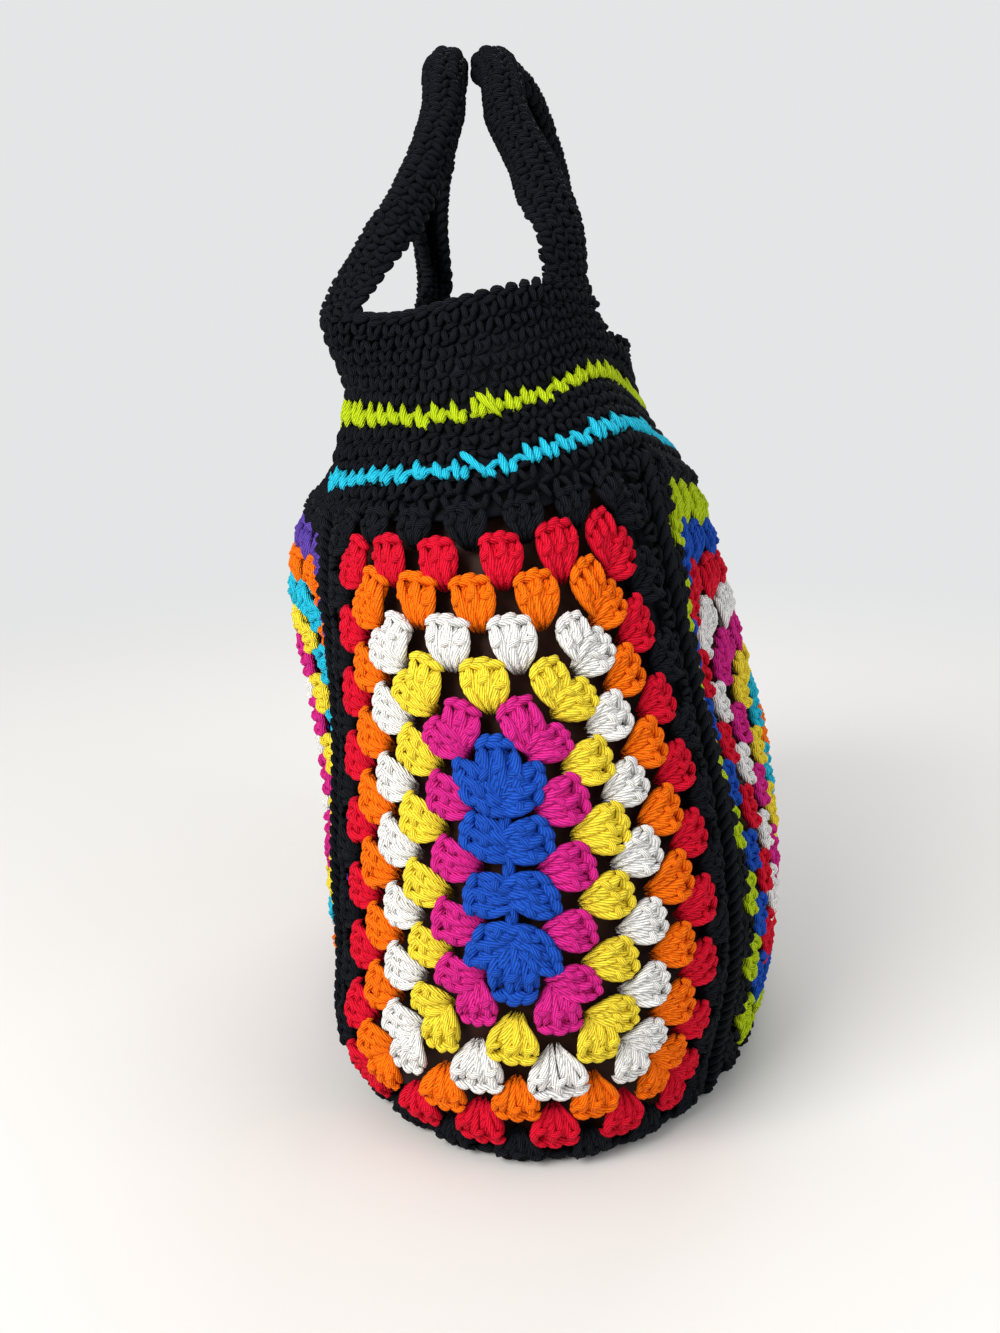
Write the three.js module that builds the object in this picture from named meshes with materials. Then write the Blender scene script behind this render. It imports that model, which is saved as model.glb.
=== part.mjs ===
// Crochet tote bag: two granny end panels and two granny main panels, joined by raised seams round a black
// base, with a striped band, two handles worked on from the band and a satin lining.
// Millimetres, +Z up. It stands on Z = 0 with the origin in the middle of the base, and its front end
// panel faces -Y. The long main panels face +X and -X.
import * as THREE from 'three';

// The body's sections from the table up: half length along Y and half width along X at each height.
const sections = [
  { height: 0, halfLength: 133, halfWidth: 71 },
  { height: 10, halfLength: 144, halfWidth: 79 },
  { height: 50, halfLength: 156, halfWidth: 84 },
  { height: 100, halfLength: 158, halfWidth: 82 },
  { height: 150, halfLength: 149, halfWidth: 76.5 },
  { height: 180, halfLength: 140, halfWidth: 72 },
  { height: 205, halfLength: 129, halfWidth: 64.5 },
  { height: 218, halfLength: 118, halfWidth: 56.5 },
  { height: 232, halfLength: 107, halfWidth: 50.5 },
  { height: 262, halfLength: 98, halfWidth: 46.5 },
];
const rimLean = -24; // how far the soft top has leaned sideways at the rim
const leanStart = 60; // heights between which the lean grows
const leanEnd = 255;

// Panels, measured round the belly of the bag.
const endPanelWidth = 164;
const mainPanelWidth = 225;
const seamWidth = 8;
const seamRaise = 5;
const endSideBorder = 12; // black between the coloured rounds and the seam
const mainSideBorder = 14;
const endDrawn = 0.13; // share by which the rounds of an end panel are drawn in at the top
const clearance = 0.3;

// Rounds of stitch clusters.
const roundRise = 11.6; // height of one round of an end panel
const firstRise = 15.7; // the same for its first round, which stands taller at both ends of the chain
const centreLength = 42; // starting chain in the middle of an end panel
const centreSpaces = 3; // clusters along that chain before the first corner
const crownRise = 2.5; // how far a cluster's top stands out between two notches
const footGap = 0.8; // from a notch to the foot of the cluster that is worked into it
const puffHeight = 3.8; // how far a cluster stands proud
const neckHeight = 1.6; // the same where two clusters of a round join
const edgeDepth = 1.2; // how far the edges of a cluster lie back
const peakShare = 0.66; // place of a cluster's thickest point, from foot to top
const roundNeck = 0.34; // depth of the join between two clusters, as a share of the round
const borderNeck = 0.6;
const borderGap = 0.8; // from a panel's border to the band above it

// Rows of single crochet from the table up.
const baseThickness = 5;
const baseSeamRow = 9;
const bottomBorder = 9.5;
const topBorder = 9.5;
const lowerRow = 6;
const lowerRowCount = 2;
const stripeRow = 6.2;
const middleRow = 5.5;
const middleRowCount = 3;
const upperRow = 5.35;
const upperRowCount = 6;
const rowCrest = 3;
const rowValley = 0.8;
const bandBack = 2.8;
const bandStations = 36;

// The rim dips between the handles on the long sides.
const scoopDrop = 19;
const scoopStart = { left: 97, right: 85 }; // from the middle of an end panel, measured round the belly
const scoopReach = 15;

// Handles: flat where they grow from the rim, rolled into a soft tube above.
const handleWidth = 22;
const handleThickness = 5;
const handlePlaces = { left: 78, right: 70 }; // from the middle of an end panel, measured round the belly
const handleCurl = 2.1; // half angle of the roll
const handleBaseCurl = 0.3;
const handleStations = 21;
const handleApexHeight = 353;
const handleSpacing = 16; // between the two rolled handles where they lean together
const handleLean = -32.5;
const handleLegs = {
  nearLeft: [
    { across: 0.36, along: 0.05, rise: 0.21 },
    { across: 0.8, along: 0.2, rise: 0.44 },
    { across: 1.06, along: 0.48, rise: 0.72 },
    { across: 1.02, along: 0.76, rise: 0.93 },
  ],
  farLeft: [
    { across: 0, along: 0.05, rise: 0.21 },
    { across: 0.12, along: 0.2, rise: 0.44 },
    { across: 0.52, along: 0.48, rise: 0.72 },
    { across: 0.88, along: 0.76, rise: 0.93 },
  ],
  nearRight: [
    { across: 0.06, along: 0.05, rise: 0.21 },
    { across: 0.33, along: 0.2, rise: 0.44 },
    { across: 0.74, along: 0.48, rise: 0.72 },
    { across: 0.86, along: 0.76, rise: 0.93 },
  ],
  farRight: [
    { across: 0.08, along: 0.05, rise: 0.21 },
    { across: 0.22, along: 0.2, rise: 0.44 },
    { across: 0.44, along: 0.48, rise: 0.72 },
    { across: 0.72, along: 0.76, rise: 0.93 },
  ],
};

// The lining hangs just inside the crochet.
const liningGap = 3.5;
const liningThickness = 1.2;
const liningFootRow = 8; // how far up the wall its floor turns up
const liningTopInset = 2; // above the lime stripe

const yarnColours = {
  black: 0x14161c,
  red: 0xc81028,
  orange: 0xf26a0c,
  white: 0xebebe8,
  yellow: 0xf0d73c,
  pink: 0xcd2882,
  blue: 0x1e4baf,
  lime: 0xafc819,
  turquoise: 0x28b9d7,
  purple: 0x5a46a0,
};
const liningColour = 0x4b372f;

const endRounds = ['blue', 'pink', 'yellow', 'white', 'orange', 'red'];
const rightRounds = ['orange', 'turquoise', 'yellow', 'pink', 'white', 'red', 'blue', 'lime'];
const leftRounds = ['blue', 'red', 'white', 'pink', 'yellow', 'turquoise', 'orange', 'purple'];

// Levels up the wall, each the top of the row that it names.
const patternHeight = centreLength + 2 * firstRise + 2 * (endRounds.length - 1) * roundRise;
const patternBottom = baseSeamRow + bottomBorder;
const patternTop = patternBottom + patternHeight;
const borderTop = patternTop + topBorder;
const lowerTop = borderTop + lowerRowCount * lowerRow;
const turquoiseTop = lowerTop + stripeRow;
const middleTop = turquoiseTop + middleRowCount * middleRow;
const limeTop = middleTop + stripeRow;
const wallHeight = limeTop + upperRowCount * upperRow;
const perimeter = 2 * (endPanelWidth + mainPanelWidth);
const rim = sections[sections.length - 1];
const rimPoint = new THREE.Vector2(rim.halfWidth, rim.halfLength);

// Hand-worked unevenness. The panels and the band are drawn up at the right corner and sag at the left one,
// the main panels are hollow beside the front seams and full above, the left handle pulls the rim out at its
// root, and the front end panel has slid round to the left, most at the belly. Places are measured round the
// belly and up the wall.
const pulls = [
  { along: 72, rise: 12, from: patternTop - 4 * roundRise, to: turquoiseTop },
  { along: 72, rise: -8, from: limeTop, to: wallHeight },
  { along: 128, rise: 9, from: patternTop - 6 * roundRise, to: patternTop },
  { along: 128, rise: -9, from: patternTop, to: turquoiseTop },
  { along: -90, rise: -5, from: patternTop - 2 * roundRise, to: turquoiseTop },
  { along: -90, rise: 6, from: turquoiseTop, to: limeTop },
  { along: -58, rise: -4.5, from: limeTop, to: wallHeight },
  { along: -140, rise: -6, from: patternTop - 6 * roundRise, to: patternTop },
  { along: -140, rise: 6, from: patternTop, to: turquoiseTop },
];
const pullSpread = 50;
const bulges = [
  { along: 135, up: 155, out: -11, wide: 30, tall: 55 },
  { along: 107, up: 135, out: -6, wide: 17, tall: 60 },
  { along: 165, up: 215, out: 5, wide: 45, tall: 30 },
  { along: 62, up: 30, out: -3, wide: 35, tall: 24 },
  { along: -62, up: 38, out: 7, wide: 35, tall: 19 },
  { along: -115, up: 150, out: -9, wide: 30, tall: 60 },
  { along: -112, up: 50, out: -7, wide: 28, tall: 45 },
  { along: -165, up: 176, out: 7.5, wide: 52, tall: 52 },
  { along: -165, up: 238, out: -6, wide: 60, tall: 28 },
  { along: -88, up: wallHeight, out: 14, wide: 40, tall: 24 },
];
const slide = { along: -40, way: -6.5, spread: 100 };
const slideSteps = [
  { share: 0.4, from: 80, to: 150 },
  { share: 0.6, from: 205, to: 245 },
];

// The body's outline at its widest, as a curve that starts and ends in the middle of the back end panel.
const widest = sections.reduce((best, section) => (section.halfLength > best.halfLength ? section : best));
const widestPoint = new THREE.Vector2(widest.halfWidth, widest.halfLength);
class BodyOutline extends THREE.Curve {
  getPoint(share, target = new THREE.Vector3()) {
    const angle = 2 * Math.PI * (share - 0.5);
    return target.set(widestPoint.x * Math.sin(angle), -widestPoint.y * Math.cos(angle), 0);
  }
}
const bodyOutline = new BodyOutline();
bodyOutline.arcLengthDivisions = 2000;

// The wall's profile: x is the half width, y the half length and z the height.
const profileKnots = sections.map((s) => new THREE.Vector3(s.halfWidth, s.halfLength, s.height));
const profile = new THREE.CatmullRomCurve3(profileKnots, false, 'catmullrom', 0.5);
profile.arcLengthDivisions = 1000;

const bell = (distance, spread) => Math.exp(-((distance / spread) ** 2));

// Shortest way round the belly from one place to another.
function wayRound(from, to) {
  return THREE.MathUtils.euclideanModulo(to - from + perimeter / 2, perimeter) - perimeter / 2;
}

// How far a place has slid round the belly.
function slideAt(along, up) {
  let share = 1;
  for (const step of slideSteps) share -= step.share * THREE.MathUtils.smoothstep(up, step.from, step.to);
  return slide.way * share * bell(wayRound(slide.along, along), slide.spread);
}

// A point of the wall itself: along is measured round the belly from the middle of the front end panel, and
// up is measured up the wall from the table.
function wallBase(along, up) {
  const place = along + slideAt(along, up);
  const outline = bodyOutline.getPointAt(THREE.MathUtils.euclideanModulo(place / perimeter + 0.5, 1));
  const section = profile.getPointAt(THREE.MathUtils.clamp(up / wallHeight, 0, 1));
  const lean = rimLean * THREE.MathUtils.smoothstep(section.z, leanStart, leanEnd);
  let height = section.z;
  for (const pull of pulls) {
    const ramp = THREE.MathUtils.smoothstep(up, pull.from, pull.to);
    height += pull.rise * ramp * bell(wayRound(pull.along, along), pullSpread);
  }
  const x = lean + (section.x * outline.x) / widestPoint.x;
  const y = (section.y * outline.y) / widestPoint.y;
  return new THREE.Vector3(x, y, height);
}

// A point at a distance out from the wall, along the wall's own normal.
function wallPoint(along, up, out) {
  const step = 0.5;
  const low = Math.max(up - step, 0);
  const high = Math.min(up + step, wallHeight);
  const round = wallBase(along + step, up).sub(wallBase(along - step, up));
  const rise = wallBase(along, high).sub(wallBase(along, low));
  const normal = round.cross(rise).normalize();
  let distance = out;
  for (const bulge of bulges) {
    const share = bell(wayRound(bulge.along, along), bulge.wide) * bell(up - bulge.up, bulge.tall);
    distance += bulge.out * share;
  }
  return wallBase(along, up).addScaledVector(normal, distance);
}

function meshGeometry(points, triangles) {
  const geometry = new THREE.BufferGeometry();
  const places = points.flatMap((point) => point.toArray());
  geometry.setAttribute('position', new THREE.Float32BufferAttribute(places, 3));
  geometry.setIndex(triangles.flat());
  geometry.computeVertexNormals();
  return geometry;
}

function yarnMesh(name, colour, geometry) {
  const material = new THREE.MeshStandardMaterial({ color: yarnColours[colour], roughness: 0.9 });
  const mesh = new THREE.Mesh(geometry, material);
  mesh.name = name;
  return mesh;
}

// Sections of equal point count, joined in order round a closed ring.
function ringGeometry(rings) {
  const points = rings.flat();
  const count = rings[0].length;
  const triangles = [];
  rings.forEach((ring, i) => {
    const here = i * count;
    const next = ((i + 1) % rings.length) * count;
    for (let j = 0; j < count; j += 1) {
      const k = (j + 1) % count;
      triangles.push([here + j, next + j, next + k], [here + j, next + k, here + k]);
    }
  });
  return meshGeometry(points, triangles);
}

// Sections of equal, even point count along an open path, with a strip of faces across each end.
function loftGeometry(rings) {
  const points = rings.flat();
  const count = rings[0].length;
  const triangles = [];
  for (let i = 0; i + 1 < rings.length; i += 1) {
    const here = i * count;
    const next = here + count;
    for (let j = 0; j < count; j += 1) {
      const k = (j + 1) % count;
      triangles.push([here + j, next + j, next + k], [here + j, next + k, here + k]);
    }
  }
  const last = (rings.length - 1) * count;
  for (let j = 0; j + 1 < count / 2; j += 1) {
    const [a, b, c, d] = [j, j + 1, count - 2 - j, count - 1 - j];
    triangles.push([a, b, c], [a, c, d]);
    triangles.push([last + a, last + c, last + b], [last + a, last + d, last + c]);
  }
  return meshGeometry(points, triangles);
}

// The four sides of a round, walked anticlockwise as seen from outside the bag.
const roundSides = [
  { run: new THREE.Vector2(1, 0), out: new THREE.Vector2(0, -1), upright: false },
  { run: new THREE.Vector2(0, 1), out: new THREE.Vector2(1, 0), upright: true },
  { run: new THREE.Vector2(-1, 0), out: new THREE.Vector2(0, 1), upright: false },
  { run: new THREE.Vector2(0, -1), out: new THREE.Vector2(-1, 0), upright: true },
];

// A notch between two clusters on one side of a round. Corners are notches too.
function notch(round, side, index) {
  const count = side.upright ? round.upright : round.across;
  const halfRun = side.upright ? round.halfHeight : round.halfWidth;
  const reach = side.upright ? round.halfWidth : round.halfHeight;
  const place = count > 0 ? halfRun * ((2 * index) / count - 1) : 0;
  return side.out.clone().multiplyScalar(reach).addScaledVector(side.run, place);
}

// One round of stitch clusters as one closed ring of puffs. Each cluster fans out from its foot, in a notch
// of the round inside it, to its own two notches, and is joined to the next by a neck.
function roundGeometry(round, inner, toWall, crown, neckShare) {
  const clusters = [];
  for (const side of roundSides) {
    const count = side.upright ? round.upright : round.across;
    for (let i = 0; i < count; i += 1) {
      const start = notch(round, side, i);
      const end = notch(round, side, i + 1);
      const foot = notch(inner, side, i).addScaledVector(side.out, footGap);
      const middle = start.clone().lerp(end, 0.5);
      const peak = foot.clone().lerp(middle, peakShare);
      clusters.push({ start, foot, peak, crown: middle.addScaledVector(side.out, crown) });
    }
  }
  const points = [];
  const put = (spot, out) => points.push(wallPoint(...toWall(spot), out));
  clusters.forEach((cluster, i) => {
    const before = clusters[(i + clusters.length - 1) % clusters.length];
    const feet = cluster.foot.clone().lerp(before.foot, 0.5);
    const gap = cluster.start.clone().lerp(feet, neckShare);
    put(cluster.start, -edgeDepth);
    put(cluster.crown, -edgeDepth);
    put(gap, -edgeDepth);
    put(cluster.start.clone().lerp(gap, 0.5), neckHeight);
    put(cluster.foot, -edgeDepth);
    put(cluster.peak, puffHeight);
  });
  const triangles = [];
  const stride = 6;
  clusters.forEach((cluster, i) => {
    const [start, top, gap, neck, foot, peak] = [0, 1, 2, 3, 4, 5].map((k) => i * stride + k);
    const next = ((i + 1) % clusters.length) * stride;
    const [end, gapEnd, neckEnd] = [next, next + 2, next + 3];
    const loop = [start, top, end, neckEnd, gapEnd, foot, gap, neck];
    loop.forEach((corner, k) => triangles.push([peak, corner, loop[(k + 1) % loop.length]]));
    triangles.push([start, end, top], [start, gapEnd, end], [start, gap, gapEnd], [gap, foot, gapEnd]);
  });
  return meshGeometry(points, triangles);
}

// A panel: coloured rounds from the middle out, and a black border that reaches to the seams.
function panel(name, colours, size, along) {
  const group = new THREE.Group();
  const step = ((size.width - seamWidth) / 2 - size.sideBorder) / colours.length;
  const roundAt = (k) => ({
    halfWidth: k * step,
    halfHeight: size.chain / 2 + (k > 0 ? size.firstRise + (k - 1) * size.rise : 0),
    across: k,
    upright: k + size.spaces,
  });
  const outermost = roundAt(colours.length);
  const border = {
    halfWidth: (size.width - seamWidth) / 2,
    halfHeight: patternHeight / 2 + Math.min(topBorder, bottomBorder) - borderGap,
    across: outermost.across + 1,
    upright: outermost.upright + 1,
  };
  // Where the rounds are drawn in, the border takes up the difference.
  const middle = (patternBottom + patternTop) / 2;
  const toWall = (spot) => {
    const drawn = size.drawn * THREE.MathUtils.smoothstep(middle + spot.y, middle, patternTop);
    const { halfWidth } = border;
    const inside = 1 - THREE.MathUtils.smoothstep(Math.abs(spot.x), outermost.halfWidth, halfWidth);
    return [along + spot.x * (1 - drawn * inside), middle + spot.y];
  };
  colours.forEach((colour, index) => {
    const geometry = roundGeometry(roundAt(index + 1), roundAt(index), toWall, crownRise, roundNeck);
    group.add(yarnMesh(`${name}_${colour}_round`, colour, geometry));
  });
  group.add(yarnMesh(`${name}_border`, 'black', roundGeometry(border, outermost, toWall, 0, borderNeck)));
  return group;
}

// A raised braid up the wall between two panels.
function seamGeometry(along) {
  const half = seamWidth / 2 - clearance;
  const section = [
    [half, -edgeDepth],
    [0.94 * half, seamRaise / 2],
    [0.4 * half, seamRaise],
    [-0.4 * half, seamRaise],
    [-0.94 * half, seamRaise / 2],
    [-half, -edgeDepth],
  ];
  const stations = 14;
  const bottom = baseSeamRow + 2 * clearance;
  const top = borderTop - clearance;
  const rings = [];
  for (let i = 0; i <= stations; i += 1) {
    const up = THREE.MathUtils.lerp(bottom, top, i / stations);
    rings.push(section.map(([side, out]) => wallPoint(along + side, up, out)));
  }
  return loftGeometry(rings);
}

// Height of the rim, measured up the wall: full at the ends and low between the handles.
function rimLevel(along) {
  const way = wayRound(0, along);
  const fromEnd = Math.min(Math.abs(way), perimeter / 2 - Math.abs(way));
  const start = way > 0 ? scoopStart.right : scoopStart.left;
  return wallHeight - scoopDrop * THREE.MathUtils.smoothstep(fromEnd, start, start + scoopReach);
}

// A band of ridged rows right round the bag, between two levels that may change along it.
function bandGeometry(bottomAt, topAt, rowCount) {
  const rings = [];
  for (let i = 0; i < bandStations; i += 1) {
    const along = (perimeter * i) / bandStations;
    const bottom = bottomAt(along) + clearance;
    const top = topAt(along) - clearance;
    const ring = [wallPoint(along, bottom, -bandBack)];
    for (let k = 0; k <= 2 * rowCount; k += 1) {
      const out = k % 2 === 0 ? rowValley : rowCrest;
      ring.push(wallPoint(along, THREE.MathUtils.lerp(bottom, top, k / (2 * rowCount)), out));
    }
    ring.push(wallPoint(along, top, -bandBack));
    rings.push(ring);
  }
  return ringGeometry(rings);
}

// The round braid that joins the panels to the base, clear of the table.
function baseSeamGeometry() {
  const section = [
    [0.34, -0.4],
    [0.34, 0.35],
    [0.66, 1],
    [1, 0.75],
    [1, -0.5],
  ];
  const braidOut = 2.4;
  const rings = [];
  for (let i = 0; i < bandStations; i += 1) {
    const along = (perimeter * i) / bandStations;
    rings.push(section.map(([up, out]) => wallPoint(along, up * baseSeamRow, out * braidOut)));
  }
  return ringGeometry(rings);
}

function basePanelGeometry() {
  const outline = new THREE.Shape();
  const size = sections[0];
  for (let i = 0; i < bandStations; i += 1) {
    const spot = bodyOutline.getPointAt(i / bandStations);
    const x = (spot.x / widestPoint.x) * (size.halfWidth - clearance);
    const y = (spot.y / widestPoint.y) * (size.halfLength - clearance);
    if (i === 0) outline.moveTo(x, y);
    else outline.lineTo(x, y);
  }
  outline.closePath();
  return new THREE.ExtrudeGeometry(outline, { depth: baseThickness, bevelEnabled: false });
}

// The middle of a handle's root, just above the highest point of the rim under its width.
function handleRoot(place) {
  const root = wallPoint(place, wallHeight, 0);
  const reach = (handleWidth / 2) * (widestPoint.length() / rimPoint.length());
  for (const side of [-1, -0.5, 0, 0.5, 1]) {
    root.z = Math.max(root.z, wallPoint(place + side * reach, wallHeight, rowValley).z + clearance);
  }
  return root;
}

// A handle from one end of the bag to the other: its middle line, and a rolled section that opens flat at
// both roots.
function handleGeometry(side, fromEnd, nearLeg, farLeg) {
  const nearPlace = side * fromEnd;
  const farPlace = perimeter / 2 - side * fromEnd;
  const near = handleRoot(nearPlace);
  const far = handleRoot(farPlace);
  const apex = new THREE.Vector3(handleLean + (side * handleSpacing) / 2, 0, handleApexHeight);
  const along = (root, share) => {
    const span = apex.clone().sub(root);
    return new THREE.Vector3(share.across * span.x, share.along * span.y, share.rise * span.z).add(root);
  };
  const route = [near, ...nearLeg.map((share) => along(near, share)), apex];
  route.push(...farLeg.map((share) => along(far, share)).reverse(), far);
  const middle = new THREE.CatmullRomCurve3(route, false, 'centripetal');
  const rootStep = 6;
  const rootWidth = (place) => {
    const start = wallPoint(place - rootStep, wallHeight, 0);
    const end = wallPoint(place + rootStep, wallHeight, 0);
    return end.sub(start).setZ(0).normalize();
  };
  const nearWidth = rootWidth(nearPlace);
  const farWidth = rootWidth(farPlace).negate();
  const acrossBag = new THREE.Vector3(1, 0, 0);
  const upward = new THREE.Vector3(0, 0, 1);
  const rings = [];
  for (let i = 0; i < handleStations; i += 1) {
    const share = i / (handleStations - 1);
    const spot = middle.getPointAt(share);
    const tangent = middle.getTangentAt(share);
    if (i === 0) tangent.copy(upward);
    if (i === handleStations - 1) tangent.copy(upward).negate();
    const raised = Math.sin(Math.PI * share);
    const root = share < 0.5 ? nearWidth : farWidth;
    const width = root.clone().lerp(acrossBag, THREE.MathUtils.smoothstep(raised, 0, 0.8));
    width.addScaledVector(tangent, -width.dot(tangent)).normalize();
    const outward = width.clone().cross(tangent);
    const rolled = THREE.MathUtils.smoothstep(raised, 0, 0.7);
    const curl = THREE.MathUtils.lerp(handleBaseCurl, handleCurl, rolled);
    rings.push(rolledSection(spot, width, outward, curl));
  }
  return loftGeometry(rings);
}

// A strip of the handle's width and thickness, rolled to a half angle, with its middle on the spot.
function rolledSection(spot, width, outward, curl) {
  const radius = handleWidth / (2 * curl);
  const steps = 5;
  const arc = (distance, backwards) => {
    const points = [];
    for (let k = 0; k <= steps; k += 1) {
      const angle = curl * ((2 * k) / steps - 1) * (backwards ? -1 : 1);
      const reach = radius + distance;
      const point = spot.clone().addScaledVector(width, reach * Math.sin(angle));
      points.push(point.addScaledVector(outward, reach * Math.cos(angle) - radius));
    }
    return points;
  };
  return [...arc(handleThickness / 2, true), ...arc(-handleThickness / 2, false)];
}

// A thin open cup that stands on the base panel and is caught inside the lowest row of the rim.
function liningGeometry() {
  const floor = baseThickness + clearance;
  const top = limeTop + liningTopInset;
  const levels = [0.05, 0.4, 0.7, 0.88].map((share) => patternBottom + share * patternHeight);
  levels.push(patternTop, borderTop, lowerTop, turquoiseTop, middleTop, top);
  const inside = -liningGap - liningThickness;
  const edge = (along, out, height) => wallPoint(along, liningFootRow, out).setZ(height);
  const rings = [];
  for (let i = 0; i < bandStations; i += 1) {
    const along = (perimeter * i) / bandStations;
    const outer = levels.map((up) => wallPoint(along, up, -liningGap));
    const inner = levels.map((up) => wallPoint(along, up, inside)).reverse();
    const ring = [edge(along, -liningGap, floor), ...outer, ...inner];
    ring.push(edge(along, inside, floor + liningThickness));
    rings.push(ring);
  }
  const points = rings.flat();
  const count = rings[0].length;
  const underside = points.push(new THREE.Vector3(0, 0, floor)) - 1;
  const upside = points.push(new THREE.Vector3(0, 0, floor + liningThickness)) - 1;
  const triangles = [];
  rings.forEach((ring, i) => {
    const here = i * count;
    const next = ((i + 1) % rings.length) * count;
    for (let j = 0; j + 1 < count; j += 1) {
      triangles.push([here + j, next + j, next + j + 1], [here + j, next + j + 1, here + j + 1]);
    }
    triangles.push([underside, next, here], [upside, here + count - 1, next + count - 1]);
  });
  return meshGeometry(points, triangles);
}

const bag = new THREE.Group();
bag.name = 'crochet_tote_bag';

const quarterRound = perimeter / 4;
const mainRise = patternHeight / (2 * rightRounds.length);
const endSize = {
  width: endPanelWidth,
  sideBorder: endSideBorder,
  drawn: endDrawn,
  rise: roundRise,
  firstRise,
  chain: centreLength,
  spaces: centreSpaces,
};
const mainSize = {
  width: mainPanelWidth,
  sideBorder: mainSideBorder,
  drawn: 0,
  rise: mainRise,
  firstRise: mainRise,
  chain: 0,
  spaces: 0,
};
bag.add(panel('end_front', endRounds, endSize, 0));
bag.add(panel('end_back', endRounds, endSize, 2 * quarterRound));
bag.add(panel('main_right', rightRounds, mainSize, quarterRound));
bag.add(panel('main_left', leftRounds, mainSize, -quarterRound));

const seamPlaces = {
  front_right: endPanelWidth / 2,
  front_left: -endPanelWidth / 2,
  back_right: perimeter / 2 - endPanelWidth / 2,
  back_left: perimeter / 2 + endPanelWidth / 2,
};
for (const [name, along] of Object.entries(seamPlaces)) {
  bag.add(yarnMesh(`seam_${name}`, 'black', seamGeometry(along)));
}
bag.add(yarnMesh('base_panel', 'black', basePanelGeometry()));
bag.add(yarnMesh('base_seam', 'black', baseSeamGeometry()));

const level = (up) => () => up;
const bands = [
  { name: 'lower', colour: 'black', bottom: borderTop, topAt: level(lowerTop), rows: lowerRowCount },
  { name: 'turquoise', colour: 'turquoise', bottom: lowerTop, topAt: level(turquoiseTop), rows: 1 },
  { name: 'middle', colour: 'black', bottom: turquoiseTop, topAt: level(middleTop), rows: middleRowCount },
  { name: 'lime', colour: 'lime', bottom: middleTop, topAt: level(limeTop), rows: 1 },
  { name: 'upper', colour: 'black', bottom: limeTop, topAt: rimLevel, rows: upperRowCount },
];
for (const band of bands) {
  const geometry = bandGeometry(level(band.bottom), band.topAt, band.rows);
  bag.add(yarnMesh(`band_${band.name}`, band.colour, geometry));
}
const leftHandle = handleGeometry(-1, handlePlaces.left, handleLegs.nearLeft, handleLegs.farLeft);
const rightHandle = handleGeometry(1, handlePlaces.right, handleLegs.nearRight, handleLegs.farRight);
bag.add(yarnMesh('handle_left', 'black', leftHandle));
bag.add(yarnMesh('handle_right', 'black', rightHandle));

const satin = new THREE.MeshStandardMaterial({ color: liningColour, roughness: 0.45 });
const lining = new THREE.Mesh(liningGeometry(), satin);
lining.name = 'lining';
bag.add(lining);

export default bag;
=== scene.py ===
import bmesh
import bpy
import numpy as np
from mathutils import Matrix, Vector


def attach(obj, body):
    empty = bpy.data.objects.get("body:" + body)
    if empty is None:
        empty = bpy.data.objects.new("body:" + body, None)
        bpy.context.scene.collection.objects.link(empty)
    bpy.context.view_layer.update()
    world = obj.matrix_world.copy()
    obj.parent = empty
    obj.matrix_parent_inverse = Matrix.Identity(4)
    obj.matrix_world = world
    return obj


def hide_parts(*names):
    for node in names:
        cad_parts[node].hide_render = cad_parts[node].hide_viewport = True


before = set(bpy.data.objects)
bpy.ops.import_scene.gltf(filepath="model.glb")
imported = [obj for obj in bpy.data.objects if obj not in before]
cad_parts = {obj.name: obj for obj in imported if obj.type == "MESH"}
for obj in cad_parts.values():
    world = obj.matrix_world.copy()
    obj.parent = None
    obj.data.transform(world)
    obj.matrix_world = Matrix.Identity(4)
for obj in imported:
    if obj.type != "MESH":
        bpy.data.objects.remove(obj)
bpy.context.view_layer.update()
metre = 0.001
seed = 11
rng = np.random.default_rng(seed)

bag = {
    "sections": [  # half width along X, half length along Y, height
        (71, 133, 0), (79, 144, 10), (84, 156, 50), (82, 158, 100), (76.5, 149, 150),
        (72, 140, 180), (64.5, 129, 205), (56.5, 118, 218), (50.5, 107, 232), (46.5, 98, 262),
    ],
    "widest": (82, 158),
    "rimLean": -24,
    "leanHeights": (60, 255),
    "endWidth": 164,
    "mainWidth": 225,
    "seamWidth": 8,
    "roundRise": 11.6,
    "patternHeight": 189.4,
    "baseSeamRow": 9,
    "bottomBorder": 9.5,
    "topBorder": 9.5,
    "lowerRow": 6,
    "lowerRows": 2,
    "stripeRow": 6.2,
    "middleRow": 5.5,
    "middleRows": 3,
    "upperRow": 5.35,
    "upperRows": 6,
    "scoopDrop": 19,
    "scoopStart": (97, 85),  # left and right
    "scoopReach": 15,
}
perimeter = 2 * (bag["endWidth"] + bag["mainWidth"])
patternBottom = bag["baseSeamRow"] + bag["bottomBorder"]
patternTop = patternBottom + bag["patternHeight"]
borderTop = patternTop + bag["topBorder"]
lowerTop = borderTop + bag["lowerRows"] * bag["lowerRow"]
turquoiseTop = lowerTop + bag["stripeRow"]
middleTop = turquoiseTop + bag["middleRows"] * bag["middleRow"]
limeTop = middleTop + bag["stripeRow"]
wallHeight = limeTop + bag["upperRows"] * bag["upperRow"]

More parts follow.
